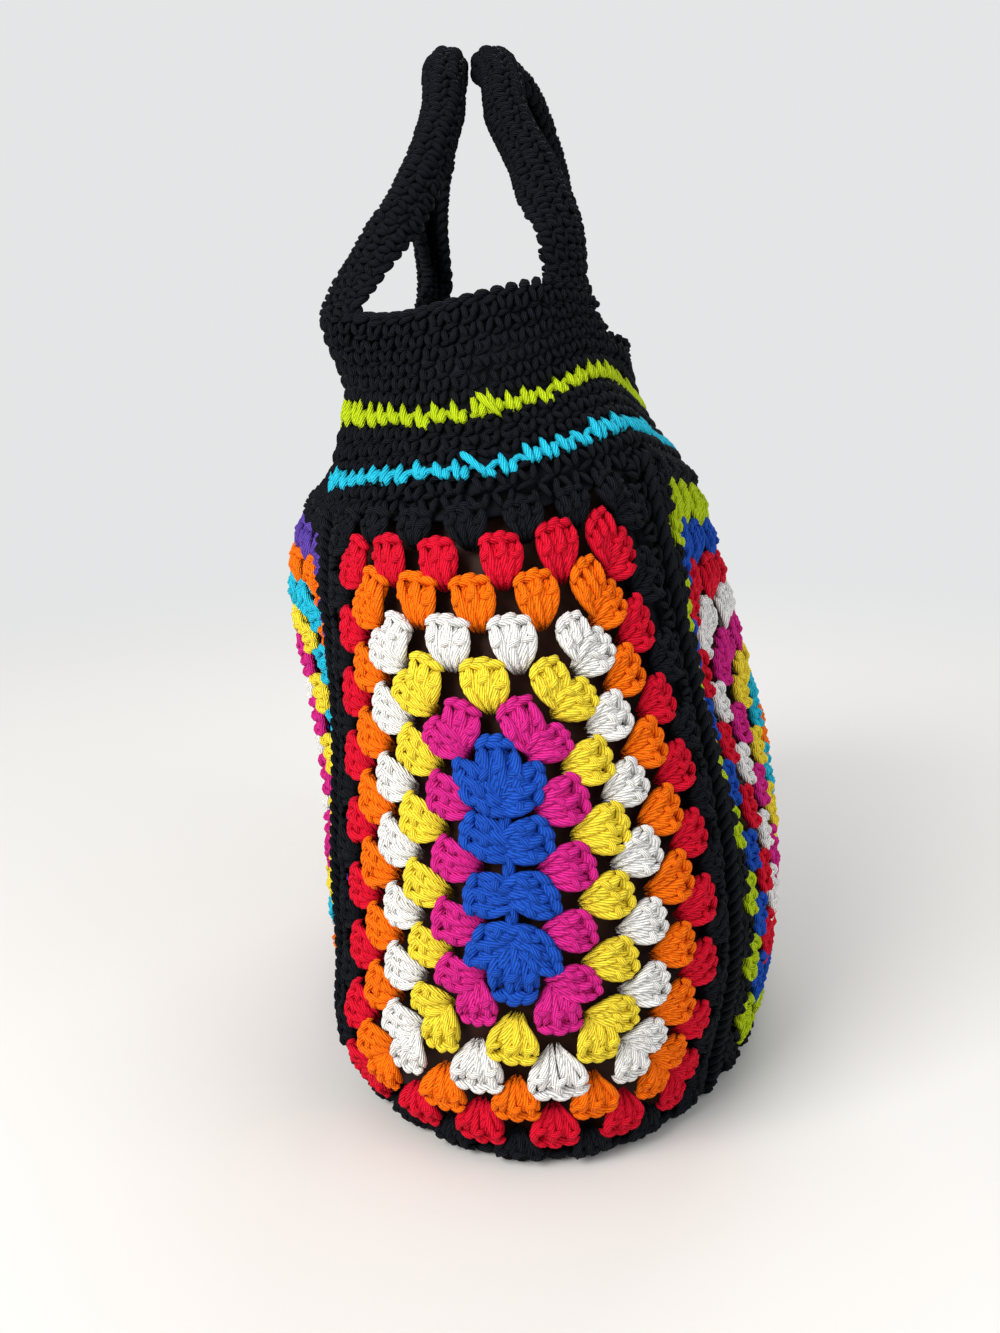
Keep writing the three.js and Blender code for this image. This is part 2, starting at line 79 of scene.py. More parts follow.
pullSpread = 50
pulls = [  # place along the wall, rise, and the levels between which it grows
    (72, 12, patternTop - 4 * bag["roundRise"], turquoiseTop),
    (72, -5, limeTop, wallHeight),
    (20, 2, limeTop, wallHeight),
    (128, 9, patternTop - 6 * bag["roundRise"], patternTop),
    (128, -5, patternTop, turquoiseTop),
    (128, -6, limeTop, wallHeight),
    (-90, -5, patternTop - 2 * bag["roundRise"], turquoiseTop),
    (-90, 6, turquoiseTop, limeTop),
    (-58, -6.5, limeTop, wallHeight),
    (-140, -6, patternTop - 6 * bag["roundRise"], patternTop),
    (-140, 1, patternTop, turquoiseTop),
    (-140, 5, turquoiseTop, limeTop),
]
bulges = [  # place along the wall, level, push out, spread along and spread up
    (135, 155, -11, 30, 55),
    (107, 135, -6, 17, 60),
    (165, 215, 1, 45, 30),
    (120, wallHeight - bag["scoopDrop"], 4.5, 22, 10),
    (62, 30, -3, 35, 24),
    (-62, 38, 7, 35, 19),
    (-115, 150, -9, 30, 60),
    (-112, 50, -7, 28, 45),
    (-84, 88, 4.5, 20, 42),
    (-118, 100, -4, 26, 40),
    (-92, 242, 4.5, 28, 15),
    (-165, 176, 7.5, 52, 52),
    (-165, 238, -6, 60, 28),
    (-88, wallHeight, 14, 40, 24),
]
slide = {"along": -40, "way": -6.5, "spread": 100}  # the front end panel has slid round to the left
slideSteps = [(0.4, 80, 150), (0.6, 205, 245)]  # share of it that is lost between two levels


# The wall

wallSteps = {
    "profile": 100,  # from one section to the next
    "outline": 2000,
    "normal": 0.5,  # millimetres to either side, for the wall's normal
}
evenKnots, unevenKnots = 0, 0.5  # how a spline is spaced
nearZero = 1e-9


def smoothstep(value, low, high):
    share = np.clip((value - low) / (high - low), 0, 1)
    return share * share * (3 - 2 * share)


def bell(distance, spread):
    return np.exp(-((distance / spread) ** 2))


def unit(vectors):
    return vectors / np.maximum(np.linalg.norm(vectors, axis=-1, keepdims=True), nearZero)


# Points from three arrays or values, spread to one shape.
def pointsFrom(first, second, third):
    return np.stack(np.broadcast_arrays(first, second, third), axis=-1)


def wayRound(start, end):
    return np.mod(end - start + perimeter / 2, perimeter) - perimeter / 2


def splineThrough(knots, stepCount, spacing):
    knots = np.asarray(knots, float)
    padded = np.vstack([2 * knots[0] - knots[1], knots, 2 * knots[-1] - knots[-2]])
    share = np.linspace(0, 1, stepCount, endpoint=False)[:, None]
    runs = []
    for before, here, after, beyond in zip(padded, padded[1:], padded[2:], padded[3:]):
        gaps = here - before, after - here, beyond - after
        first, middle, last = (np.linalg.norm(gap) ** spacing for gap in gaps)
        leave = (here - before) / first - (after - before) / (first + middle) + (after - here) / middle
        arrive = (after - here) / middle - (beyond - here) / (middle + last) + (beyond - after) / last
        leave, arrive = leave * middle, arrive * middle
        bend = 3 * (after - here) - 2 * leave - arrive
        twist = 2 * (here - after) + leave + arrive
        runs.append(here + share * (leave + share * (bend + share * twist)))
    return np.vstack(runs + [knots[-1:]])


def arcShares(points):
    lengths = np.concatenate([[0], np.cumsum(np.linalg.norm(np.diff(points, axis=0), axis=1))])
    return lengths / lengths[-1]


def pickAlong(points, shares, wanted):
    return np.stack([np.interp(wanted, shares, column) for column in points.T], axis=-1)


profile = splineThrough(bag["sections"], wallSteps["profile"], evenKnots)
profileShares = arcShares(profile)
angles = np.linspace(-np.pi, np.pi, wallSteps["outline"] + 1)
outline = np.stack([np.sin(angles), -np.cos(angles)], axis=1)
outlineShares = arcShares(outline * bag["widest"])


def slideAt(along, up):
    left = 1 - sum(share * smoothstep(up, low, high) for share, low, high in slideSteps)
    return slide["way"] * left * bell(wayRound(slide["along"], along), slide["spread"])


def wallBase(along, up):
    place = along + slideAt(along, up)
    spot = pickAlong(outline, outlineShares, np.mod(place / perimeter + 0.5, 1))
    section = pickAlong(profile, profileShares, np.clip(up / wallHeight, 0, 1))
    height = section[..., 2]
    lean = bag["rimLean"] * smoothstep(height, *bag["leanHeights"])
    for middle, rise, low, high in pulls:
        height = height + rise * smoothstep(up, low, high) * bell(wayRound(middle, along), pullSpread)
    return pointsFrom(lean + section[..., 0] * spot[..., 0], section[..., 1] * spot[..., 1], height)


# Points and normals for flat places (along, up, out). Past the rim or the base the wall runs on.
def onWall(flat):
    along, up, out = flat[..., 0], flat[..., 1], flat[..., 2]
    step = wallSteps["normal"]
    inside = np.clip(up, 0, wallHeight)
    low, high = np.maximum(inside - step, 0), np.minimum(inside + step, wallHeight)
    roundWay = wallBase(along + step, inside) - wallBase(along - step, inside)
    riseWay = wallBase(along, high) - wallBase(along, low)
    normal = unit(np.cross(roundWay, riseWay))
    for place, level, push, wide, tall in bulges:
        out = out + push * bell(wayRound(place, along), wide) * bell(up - level, tall)
    beyond = (up - inside)[..., None] * unit(riseWay)
    return wallBase(along, inside) + beyond + normal * out[..., None], normal


def rimLevel(along):
    way = wayRound(0, along)
    fromEnd = np.minimum(np.abs(way), perimeter / 2 - np.abs(way))
    left, right = bag["scoopStart"]
    start = np.where(way > 0, right, left)
    return wallHeight - bag["scoopDrop"] * smoothstep(fromEnd, start, start + bag["scoopReach"])


# Yarn: each strand is a grid that is rolled round its path

yarn = {
    "uvLength": 10,  # millimetres of strand for one unit of its UV map
    "endTaper": 0.8,
    "merge": 1e-6,
    "points": (5, 6, 7),  # along a plain strand, a leg and an arch
    "sides": 5,
    "fineSides": 6,
    "hiddenSides": 4,
    "clothTone": -1.0,  # as dark as the darkest strand
}
plainSteps, legSteps, archSteps = (np.linspace(0, 1, points) for points in yarn["points"])
bothSides = np.array([-1, 1])[None, :, None]
ropeStrands = np.array([0, 0.5])[:, None]  # the turns at which the two strands of a rope start


def meshFrom(shape, name):
    mesh = bpy.data.meshes.new(name)
    shape.to_mesh(mesh)
    shape.free()
    return mesh


def addObject(name, data):
    piece = bpy.data.objects.new(name, data)
    bpy.context.scene.collection.objects.link(piece)
    return piece


# Copies of a grid in one mesh, and the places of one copy's corners as shares of its two sides.
def gridCopies(count, acrossSteps, upSteps):
    shape = bmesh.new()
    shape.loops.layers.uv.new("UVMap")
    bmesh.ops.create_grid(shape, x_segments=acrossSteps, y_segments=upSteps, size=0.5, calc_uvs=True)
    mesh = meshFrom(shape, "grid")
    places = np.empty(3 * len(mesh.vertices))
    mesh.vertices.foreach_get("co", places)
    places = places.reshape(-1, 3)[:, :2] + 0.5
    if count > 1:
        carrier = addObject("carrier", mesh)
        repeat = carrier.modifiers.new("repeat", "ARRAY")
        repeat.use_relative_offset = False
        repeat.count = count
        state = bpy.context.evaluated_depsgraph_get()
        copies = bpy.data.meshes.new_from_object(carrier.evaluated_get(state))
        bpy.data.objects.remove(carrier)
        bpy.data.meshes.remove(mesh)
        mesh = copies
    return mesh, places


def setTone(mesh, tones):
    tone = mesh.attributes.new("tone", "FLOAT", "POINT")
    tone.data.foreach_set("value", np.asarray(tones, np.float32))


def setPlaces(mesh, places):
    mesh.vertices.foreach_set("co", (places * metre).astype(np.float32).ravel())


# Strands along flat paths, whose points are the last two axes, on a surface that gives points and normals.
def layStrands(flat, surface, radius, sides=yarn["sides"]):
    paths, normals = surface(flat.reshape(-1, *flat.shape[-2:]))
    count, steps = paths.shape[0], paths.shape[1] - 1
    mesh, places = gridCopies(count, steps, sides)
    stepIndex = np.rint(places[:, 0] * steps).astype(int)
    turn = 2 * np.pi * places[:, 1]
    taper = np.ones(steps + 1)
    taper[[1, -2]] = yarn["endTaper"]
    taper[[0, -1]] = 0
    thickness = (np.broadcast_to(radius, (count, steps + 1)) * taper)[:, stepIndex, None]
    tangents = unit(np.gradient(paths, axis=1))
    across = unit(np.cross(tangents, normals))
    away = np.cross(across, tangents)
    ring = np.cos(turn)[:, None] * across[:, stepIndex] + np.sin(turn)[:, None] * away[:, stepIndex]
    setPlaces(mesh, paths[:, stepIndex] + ring * thickness)
    lengths = np.linalg.norm(np.diff(paths, axis=1), axis=2).sum(axis=1) / yarn["uvLength"]
    uvs = np.empty(2 * len(mesh.loops), np.float32)
    mesh.uv_layers["UVMap"].uv.foreach_get("vector", uvs)
    uvs = uvs.reshape(count, -1, 2)
    uvs[..., 0] *= lengths[:, None]
    uvs[..., 0] += rng.random(count)[:, None]
    mesh.uv_layers["UVMap"].uv.foreach_set("vector", uvs.ravel())
    setTone(mesh, np.repeat(rng.uniform(-1, 1, count), len(places)))
    return mesh


# A strip of cloth behind the stitches, closed round the flat lines of its edges.
def layStrip(edges, surface):
    flat = np.stack([*edges, edges[0]], axis=1)
    stations, corners = flat.shape[0] - 1, flat.shape[1] - 1
    mesh, places = gridCopies(1, stations, corners)
    station = np.rint(places[:, 0] * stations).astype(int)
    corner = np.rint(places[:, 1] * corners).astype(int)
    setPlaces(mesh, surface(flat)[0][station, corner])
    setTone(mesh, np.full(len(places), yarn["clothTone"]))
    return mesh


def joinMeshes(name, meshes):
    whole = bmesh.new()
    for mesh in meshes:
        whole.from_mesh(mesh)
        bpy.data.meshes.remove(mesh)
    bmesh.ops.remove_doubles(whole, verts=whole.verts, dist=yarn["merge"])
    bmesh.ops.recalc_face_normals(whole, faces=whole.faces)
    for face in whole.faces:
        face.smooth = True
    return meshFrom(whole, name)


def yarnPiece(node, colour, meshes):
    mesh = joinMeshes(node + "_yarn", meshes)
    mesh.materials.append(yarnMaterials[colour])
    piece = addObject(node + "_yarn", mesh)
    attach(piece, "root")
    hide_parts(node)


# Materials

yarnColours = {
    "black": (0.0085, 0.0098, 0.014),
    "red": (0.68, 0.006, 0.028),
    "orange": (0.96, 0.17, 0.004),
    "white": (0.86, 0.85, 0.83),
    "yellow": (0.90, 0.70, 0.045),
    "pink": (0.64, 0.020, 0.24),
    "blue": (0.012, 0.075, 0.45),
    "lime": (0.46, 0.60, 0.010),
    "turquoise": (0.020, 0.50, 0.70),
    "purple": (0.11, 0.055, 0.37),
}
yarnLook = {
    "plies": 9,
    "plyPitch": 2.3,  # millimetres along the strand from one ply to the next
    "plyHighlight": 1.1,  # painted highlight on top of a ply, as a share of the yarn's colour
    "paintedFurrowShade": 0.5,  # how far painted shade darkens the furrows between plies
    # on the black yarn the painted furrow shade and ply highlights are stronger
    "blackPaintedFurrowShade": 1.05,
    "fibreScale": 1400,
    "fibreDetail": 3,
    "fibreShade": (0.4, 0.8),  # how far the fibres' shade varies, and its lowest value
    "fibreHeight": 0.35,  # share of a ply's height
    "toneShade": 0.07,  # how much lighter or darker a strand may be
    "bump": 0.75,
    "bumpDepth": 0.0005,
    "roughness": 0.7,
    "specular": 0.06,
}
plySockets = [
    ("Color", "INPUT", "NodeSocketColor"),
    ("Plies", "INPUT", "NodeSocketFloat"),
    ("Turns", "INPUT", "NodeSocketFloat"),
    ("Contrast", "INPUT", "NodeSocketFloat"),
    ("Fibre Scale", "INPUT", "NodeSocketFloat"),
    ("Color", "OUTPUT", "NodeSocketColor"),
    ("Height", "OUTPUT", "NodeSocketFloat"),
]


# Gives each input its value, or links it where that is another node's output.
def setInputs(tree, node, inputs):
    for name, value in inputs.items():
        if isinstance(value, bpy.types.NodeSocket):
            tree.links.new(value, node.inputs[name])
        else:
            node.inputs[name].default_value = value


def addNode(tree, kind, place, inputs=None, **settings):
    node = tree.nodes.new(kind)
    node.location = place
    for name, value in settings.items():
        setattr(node, name, value)
    setInputs(tree, node, inputs or {})
    return node


def addMath(tree, operation, place, *values):
    return addNode(tree, "ShaderNodeMath", place, dict(enumerate(values)), operation=operation).outputs[0]


def newMaterial(name):
    material = bpy.data.materials.new(name)
    material.use_nodes = True
    return material, material.node_tree, material.node_tree.nodes["Principled BSDF"]


# Twisted plies: their colour and height, from the strand's own UV map. The colour holds painted shade in
# the furrows between plies and a painted highlight on the ply tops.
def makePlyGroup():
    look = yarnLook
    tree = bpy.data.node_groups.new("twistedPlies", "ShaderNodeTree")
    for name, way, kind in plySockets:
        tree.interface.new_socket(name, in_out=way, socket_type=kind)
    entry = addNode(tree, "NodeGroupInput", (-1200, 0)).outputs
    strand = addNode(tree, "ShaderNodeUVMap", (-1200, 300), uv_map="UVMap")
    split = addNode(tree, "ShaderNodeSeparateXYZ", (-1000, 300), {0: strand.outputs["UV"]}).outputs
    alongTurns = addMath(tree, "MULTIPLY", (-800, 400), split["X"], entry["Turns"])
    aroundTurns = addMath(tree, "MULTIPLY", (-800, 240), split["Y"], entry["Plies"])
    phase = addMath(tree, "ADD", (-620, 320), alongTurns, aroundTurns)
    wave = addMath(tree, "SINE", (-280, 320), addMath(tree, "MULTIPLY", (-450, 320), phase, np.pi))
    ridge = addMath(tree, "ABSOLUTE", (-110, 320), wave)
    coords = addNode(tree, "ShaderNodeTexCoord", (-1200, -250))
    fibre = addNode(tree, "ShaderNodeTexNoise", (-800, -250), {
        "Vector": coords.outputs["Object"],
        "Scale": entry["Fibre Scale"],
        "Detail": look["fibreDetail"],
    }).outputs["Fac"]
    tone = addNode(tree, "ShaderNodeAttribute", (-800, -480), attribute_name="tone").outputs["Fac"]
    # Painted shade and highlight: the colour is darkened in the furrows between plies and lightened on
    # their tops.
    paintedFurrowFloor = addMath(tree, "SUBTRACT", (-110, 480), look["plyHighlight"], entry["Contrast"])
    paintedPlyShade = addMath(tree, "MULTIPLY_ADD", (60, 320), ridge, entry["Contrast"], paintedFurrowFloor)
    fibreShade = addMath(tree, "MULTIPLY_ADD", (-500, -250), fibre, *look["fibreShade"])
    toneShade = addMath(tree, "MULTIPLY_ADD", (-500, -480), tone, look["toneShade"], 1)
    spotShade = addMath(tree, "MULTIPLY", (-300, -350), fibreShade, toneShade)
    # The painted ply shade and highlight, times the fibres' and the strand's own tone.
    shade = addMath(tree, "MULTIPLY", (240, 100), paintedPlyShade, spotShade)
    tintInputs = {0: entry["Color"], "Scale": shade}
    tint = addNode(tree, "ShaderNodeVectorMath", (520, 60), tintInputs, operation="SCALE")
    height = addMath(tree, "MULTIPLY_ADD", (240, 320), fibre, look["fibreHeight"], ridge)
    addNode(tree, "NodeGroupOutput", (900, 0), {"Color": tint.outputs["Vector"], "Height": height})
    return tree


def makeYarn(name, colour, group):
    look = yarnLook
    material, tree, shader = newMaterial(name + "Yarn")
    plies = addNode(tree, "ShaderNodeGroup", (-500, 200), {
        "Color": (*colour, 1),
        "Plies": look["plies"],
        "Turns": yarn["uvLength"] / look["plyPitch"],
        # painted ply shade and highlights, stronger on the black yarn
        "Contrast": look["blackPaintedFurrowShade" if name == "black" else "paintedFurrowShade"],
        "Fibre Scale": look["fibreScale"],
    }, node_tree=group)
    bump = addNode(tree, "ShaderNodeBump", (-250, -150), {
        "Strength": look["bump"],
        "Distance": look["bumpDepth"],
        "Height": plies.outputs["Height"],
    })
    setInputs(tree, shader, {
        "Base Color": plies.outputs["Color"],
        "Roughness": look["roughness"],
        "Specular IOR Level": look["specular"],
        "Normal": bump.outputs["Normal"],
    })
    return material


plyGroup = makePlyGroup()
yarnMaterials = {name: makeYarn(name, colour, plyGroup) for name, colour in yarnColours.items()}
print("Yarn materials made:", len(yarnMaterials))


# Single crochet: two legs and a top loop for each stitch

stitch = {
    "count": 90,  # stitches round the bag
    "pitch": 5.4,
    "drift": 0.14,  # how far each row's stitches shift along, in stitches
    "stray": 0.5,  # how far a stitch strays along, for how uneven it is
    "fan": 0.9,
    "arch": (0.28, 0.9),  # the stretch of a half wave that a leg swells by
    "taper": 1.5,
    "loopWidth": 1.1,
    "loopLevel": 0.56,
    "loopRise": 0.34,
    "loopOut": 0.2,
    "loopSwell": 0.5,
    "least": 0.45,  # share of a row's height below which the rim leaves a stitch out
}
plainStitch = {  # shares of a stitch's width or height, and a loop's thickness in millimetres
    "footSpread": 0.08,
    "topSpread": 0.42,
    "lean": -0.12,
    "short": 1,
    "uneven": 0.09,
    "point": 0,
    "loop": 1.0,
}
stitchKinds = {  # foot and top are shares of a stitch's height, and out, swell and leg are millimetres
    "row": {**plainStitch, "foot": -0.36, "top": 0.68, "out": 0.5, "swell": 2.0, "leg": 1.12},
    "handle": {**plainStitch, "foot": -0.32, "top": 0.72, "out": 0.2, "swell": 1.1, "leg": 1.15},
    "stripe": {"footSpread": 0.13, "topSpread": 0.29, "lean": -0.28, "short": 0.62, "uneven": 0.14,
               "point": 0.5, "loop": 0, "foot": -0.55, "top": 1.2, "out": 0.8, "swell": 1.6, "leg": 1.65},
}


# Flat paths of the legs and loops of stitches that are given by arrays of centre, bottom and height.
def stitchPaths(kind, centres, pitch, bottoms, heights, face):
    wobble = rng.normal(0, kind["uneven"], (4, len(centres), 1, 1))
    centre = centres[:, None, None] + stitch["stray"] * pitch * wobble[0]
    bottom, height = bottoms[:, None, None], heights[:, None, None]
    spread = kind["footSpread"] + (kind["topSpread"] - kind["footSpread"]) * legSteps ** stitch["fan"]
    across = centre + pitch * (bothSides * spread + (kind["lean"] + wobble[3]) * (legSteps - 0.5))
    reach = np.where(bothSides > 0, kind["short"], 1) * (kind["top"] - kind["foot"]) + wobble[3]
    up = bottom + height * (kind["foot"] + reach * legSteps + wobble[1])
    arch = np.sin(np.pi * np.linspace(*stitch["arch"], len(legSteps)))
    legs = pointsFrom(across, up, face * (kind["out"] + kind["swell"] * arch + wobble[2]))
    across = centre + pitch * stitch["loopWidth"] * (legSteps - 0.5)
    up = bottom + height * (stitch["loopLevel"] + stitch["loopRise"] * legSteps + wobble[1])
    arch = stitch["loopOut"] + stitch["loopSwell"] * np.sin(np.pi * legSteps)
    loops = pointsFrom(across, up, face * (kind["out"] + kind["swell"] * arch))
    return legs, loops


def layRow(kind, cells, face, surface):
    size = stitchKinds[kind]
    legs, loops = stitchPaths(size, *cells, face)
    thickness = size["leg"] * (1 - size["point"] * legSteps ** stitch["taper"])
    meshes = [layStrands(legs, surface, thickness)]
    if face > 0 and size["loop"]:
        meshes.append(layStrands(loops, surface, size["loop"]))
    return meshes


# Granny rounds: clusters of three wrapped posts that fan out from a foot, with loops along the top

cluster = {
    "pitch": 22,  # the cell that the sizes below are drawn in
    "rise": 12.6,
    "footSpread": 1.2,
    "topSpread": 5.9,
    "bow": 0.9,
    "footDepth": 4.2,
    "footThickness": 0.62,  # share of the strand's thickness at the foot
    "thickPlace": 0.6,  # share of the way up a post at which it is full
    "topHeight": 11.8,
    "dome": 0.8,
    "footOut": -0.6,
    "middleOut": 4.8,
    "topOut": 2,
    "twist": 0.42,  # turns of the two strands of a post round each other
    "strand": 1.55,
    "rope": 1.2,
    "footRope": 0.5,  # share of it at the foot
    "ropePlace": 0.45,
    "wrapPlace": 0.62,  # share of the way up a post
    "wrapLength": 4.8,
    "wrapRise": 3,
    "wrapOut": 1.5,
    "wrapBend": 5,
    "wrap": 1.2,
    "loopPlaces": (-4.6, 0, 4.6),
    "loopLength": 6.2,
    "loopRise": 1.4,
    "loopLevel": 12.8,
    "loopDrop": 0.9,
    "loopOut": 3.2,
    "loopSink": 2,  # how far a loop's end lies behind its start
    "loopSwell": 0.7,
    "loop": 1.45,
    "filler": 2.2,
    "fillerDepth": 0.7,  # how far the fillers lie behind the posts
    "fillerWidth": 1.1,
    "firstWidth": 0.82,  # share of a cell's width for a cluster that is worked into one spot
    "firstReach": 1.06,  # the first round reaches out under the second
    "firstLean": -0.12,
    "firstPlump": 1.2,  # thicker strands in the first round
    "cornerWidth": 0.8,
    "cornerStep": 2.6,  # how far the outer foot at a corner stands down from it
    "cornerLean": 0.36,  # the top corners' outer clusters lean up, and the inner ones away
    "innerLean": 0.3,
    "sideLean": 0.25,  # both sides of a panel lean up
    "unevenTurn": 0.07,
    "unevenSize": 0.04,
    "unevenTwist": 0.05,
    "unevenWrap": 0.05,
    "unevenLoop": 0.3,
}
posts = np.array([-1, 0, 1])[:, None]  # left, middle and right


def postOut(steps):
    foot, middle, top = cluster["footOut"], cluster["middleOut"], cluster["topOut"]
    return foot * (1 - steps) ** 2 + 2 * middle * steps * (1 - steps) + top * steps ** 2


# The middle line of the posts, and the way each one tilts.
def postLine(post, steps):
    size = cluster
    height = size["topHeight"] + size["dome"] * (1 - np.abs(post)) + size["footDepth"]
    spread = size["topSpread"] - size["footSpread"]
    across = post * (size["footSpread"] + spread * steps + size["bow"] * np.sin(np.pi * steps))
    return across, height * steps - size["footDepth"], np.arctan2(post * spread, height)


# Shares along a post that grow from the one at its foot to the whole.
def growingShares(foot, place):
    return foot + (1 - foot) * smoothstep(archSteps, 0, place)


def clusterPosts(count):
    size = cluster
    phase = rng.normal(0, size["unevenTwist"], (count, len(posts), 1, 1))
    across, up, tilt = postLine(posts[..., None], archSteps)
    turn = 2 * np.pi * (size["twist"] * (archSteps - 0.5) + ropeStrands + phase)
    rope = size["rope"] * growingShares(size["footRope"], size["ropePlace"])
    across = across + rope * np.cos(turn) * np.cos(tilt)
    up = up - rope * np.cos(turn) * np.sin(tilt)
    paths = pointsFrom(across, up, postOut(archSteps) + rope * np.sin(turn))
    return paths.reshape(count, -1, *paths.shape[-2:])


def clusterWraps(count):
    size = cluster
    steps = plainSteps - 0.5
    place = size["wrapPlace"] + rng.normal(0, size["unevenWrap"], (count, len(posts), 1))
    across, up, tilt = postLine(posts, place)
    length, rise = size["wrapLength"] * steps, size["wrapRise"] * steps
    across = across + length * np.cos(tilt) + rise * np.sin(tilt)
    up = up - length * np.sin(tilt) + rise * np.cos(tilt)
    return pointsFrom(across, up, postOut(place) + size["wrapOut"] - size["wrapBend"] * steps ** 2)


# Two strands behind the posts and one behind the loops, so that a cluster is not seen through.
def clusterFillers(count):
    size = cluster
    spread = size["footSpread"] + (size["topSpread"] - size["footSpread"]) * plainSteps
    up = (size["topHeight"] + size["footDepth"]) * plainSteps - size["footDepth"]
    between = pointsFrom(bothSides[0] / 2 * spread, up, postOut(plainSteps) - size["fillerDepth"])
    share = 2 * plainSteps - 1
    level = size["topHeight"] - size["loopDrop"] * share ** 2
    top = pointsFrom(size["fillerWidth"] * size["topSpread"] * share, level, size["topOut"])
    paths = np.concatenate([between, top[None]])
    return np.broadcast_to(paths, (count, *paths.shape))


def clusterLoops(count):
    size = cluster
    places = np.array(size["loopPlaces"])[:, None]
    steps = legSteps - 0.5
    place = places + rng.uniform(-size["unevenLoop"], size["unevenLoop"], (count, len(places), 1))
    across = place + steps * size["loopLength"]
    level = size["loopLevel"] - size["loopDrop"] * (across / size["loopPlaces"][-1]) ** 2
    out = size["loopOut"] - size["loopSink"] * legSteps + size["loopSwell"] * np.sin(np.pi * legSteps)
    return pointsFrom(across, level + steps * size["loopRise"], out)


roundSides = [  # the way along the side, the way out of it, and whether it is upright
    ((1, 0), (0, -1), False),
    ((0, 1), (1, 0), True),
    ((-1, 0), (0, 1), False),
    ((0, -1), (-1, 0), True),
]


def roundNotches(ring, side):
    run, out, upright = side
    count = ring["upright"] if upright else ring["across"]
    half = ring["halfHeight"] if upright else ring["halfWidth"]
    reach = ring["halfWidth"] if upright else ring["halfHeight"]
    share = np.linspace(-1, 1, count + 1) if count else np.zeros(1)
    return reach * np.array(out) + half * share[:, None] * np.array(run)


# Feet, sideways ways, upward ways and leans of a round's clusters, each as one array.
def roundCells(ring, inner):
    feet, sideways, upward, leans = [], [], [], []
    first = not inner["across"]
    reach = cluster["firstReach"] if first else 1
    for side in roundSides:
        edge, foot = roundNotches(ring, side), roundNotches(inner, side)
        climb, rise = side[0][1], side[1][1]
        lean = np.full(len(foot), cluster["sideLean"] * climb)
        width = np.full((len(foot), 1), 1.0 if len(foot) > 1 else cluster["firstWidth"])
        if climb:
            lean[-1 if climb > 0 else 0] = cluster["firstLean" if first else "cornerLean"] * climb
        if not first:
            width[[0, -1]] = cluster["cornerWidth"]
        if not first and rise > 0:
            lean[[0, -1]] = cluster["innerLean"], -cluster["innerLean"]
        sideways.append(width * (edge[:-1] - edge[1:]) / cluster["pitch"])
        upward.append(reach * ((edge[:-1] + edge[1:]) / 2 - foot) / cluster["rise"])
        if not first and climb:
            foot[[0, -1]] += cluster["cornerStep"] * climb * np.array([[0, 1], [0, -1]])
        feet.append(foot)
        leans.append(lean)
    return [np.concatenate(rows) for rows in (feet, sideways, upward, leans)]


def placeClusters(local, cells, turns, sizes):
    feet, sideways, upward = (rows[:, None, None] for rows in cells)
    cosine, sine, size = (rows[:, None, None] for rows in (np.cos(turns), np.sin(turns), sizes))
    across, up = local[..., 0] * size, local[..., 1] * size
    turnedAcross = (across * cosine - up * sine)[..., None]
    turnedUp = (across * sine + up * cosine)[..., None]
    flat = feet + turnedAcross * sideways + turnedUp * upward
    return np.concatenate([flat, local[..., 2:]], axis=-1)


def clusterRound(ring, inner, surface):
    size = cluster
    *cells, leans = roundCells(ring, inner)
    count = len(leans)
    turns = leans + rng.normal(0, size["unevenTurn"], count)
    sizes = 1 + rng.normal(0, size["unevenSize"], count)
    plump = 1 if inner["across"] else size["firstPlump"]
    postThickness = size["strand"] * growingShares(size["footThickness"], size["thickPlace"])
    parts = [
        (clusterPosts(count), postThickness, yarn["sides"]),
        (clusterWraps(count), size["wrap"], yarn["sides"]),
        (clusterLoops(count), size["loop"], yarn["sides"]),
        (clusterFillers(count), size["filler"], yarn["hiddenSides"]),
    ]
    return [layStrands(placeClusters(local, cells, turns, sizes), surface, plump * thickness, sides)
            for local, thickness, sides in parts]


# The chain that an end panel starts from: short ropes between the feet of its first round.
chain = {"length": 42, "spaces": 3, "rope": 0.8, "strand": 1.2, "out": 1.4, "twist": 0.9, "points": 9}


def startingChain(surface):
    steps = np.linspace(0, 1, chain["points"])
    gap = chain["length"] / chain["spaces"]
    starts = (np.arange(chain["spaces"]) * gap - chain["length"] / 2)[:, None, None]
    turn = 2 * np.pi * (chain["twist"] * steps + ropeStrands)
    out = chain["out"] + chain["rope"] * np.sin(turn)
    flat = pointsFrom(chain["rope"] * np.cos(turn), starts + gap * steps, out)
    return layStrands(flat, surface, chain["strand"], yarn["fineSides"])


endColours = ["blue", "pink", "yellow", "white", "orange", "red"]
panels = {  # kind, place along the wall, and colours from the middle out
    "end_front": ("end", 0, endColours),
    "end_back": ("end", perimeter / 2, endColours),
    "main_right": ("main", perimeter / 4,
                   ["orange", "turquoise", "yellow", "pink", "white", "red", "blue", "lime"]),
    "main_left": ("main", -perimeter / 4,
                  ["blue", "red", "white", "pink", "yellow", "turquoise", "orange", "purple"]),
}
mainRounds = 8
mainRise = bag["patternHeight"] / (2 * mainRounds)
panelKinds = {
    "end": {
        "width": bag["endWidth"],
        "sideBorder": 12,  # black between the coloured rounds and the seam
        "sideRow": 4.5,  # the part of it that is a row of single crochet
        "drawn": 0.13,  # share by which the rounds are drawn in at the top
        "rise": bag["roundRise"],
        "firstRise": 15.7,
        "chain": chain["length"],
        "spaces": chain["spaces"],
    },
    "main": {
        "width": bag["mainWidth"],
        "sideBorder": 14,
        "sideRow": 4,
        "drawn": 0,
        "rise": mainRise,
        "firstRise": mainRise,
        "chain": 0,
        "spaces": 0,
    },
}
borderGap = 0.8
backing = {"inset": 4, "overlap": 2, "front": -0.9, "back": -2.1, "stations": 40}


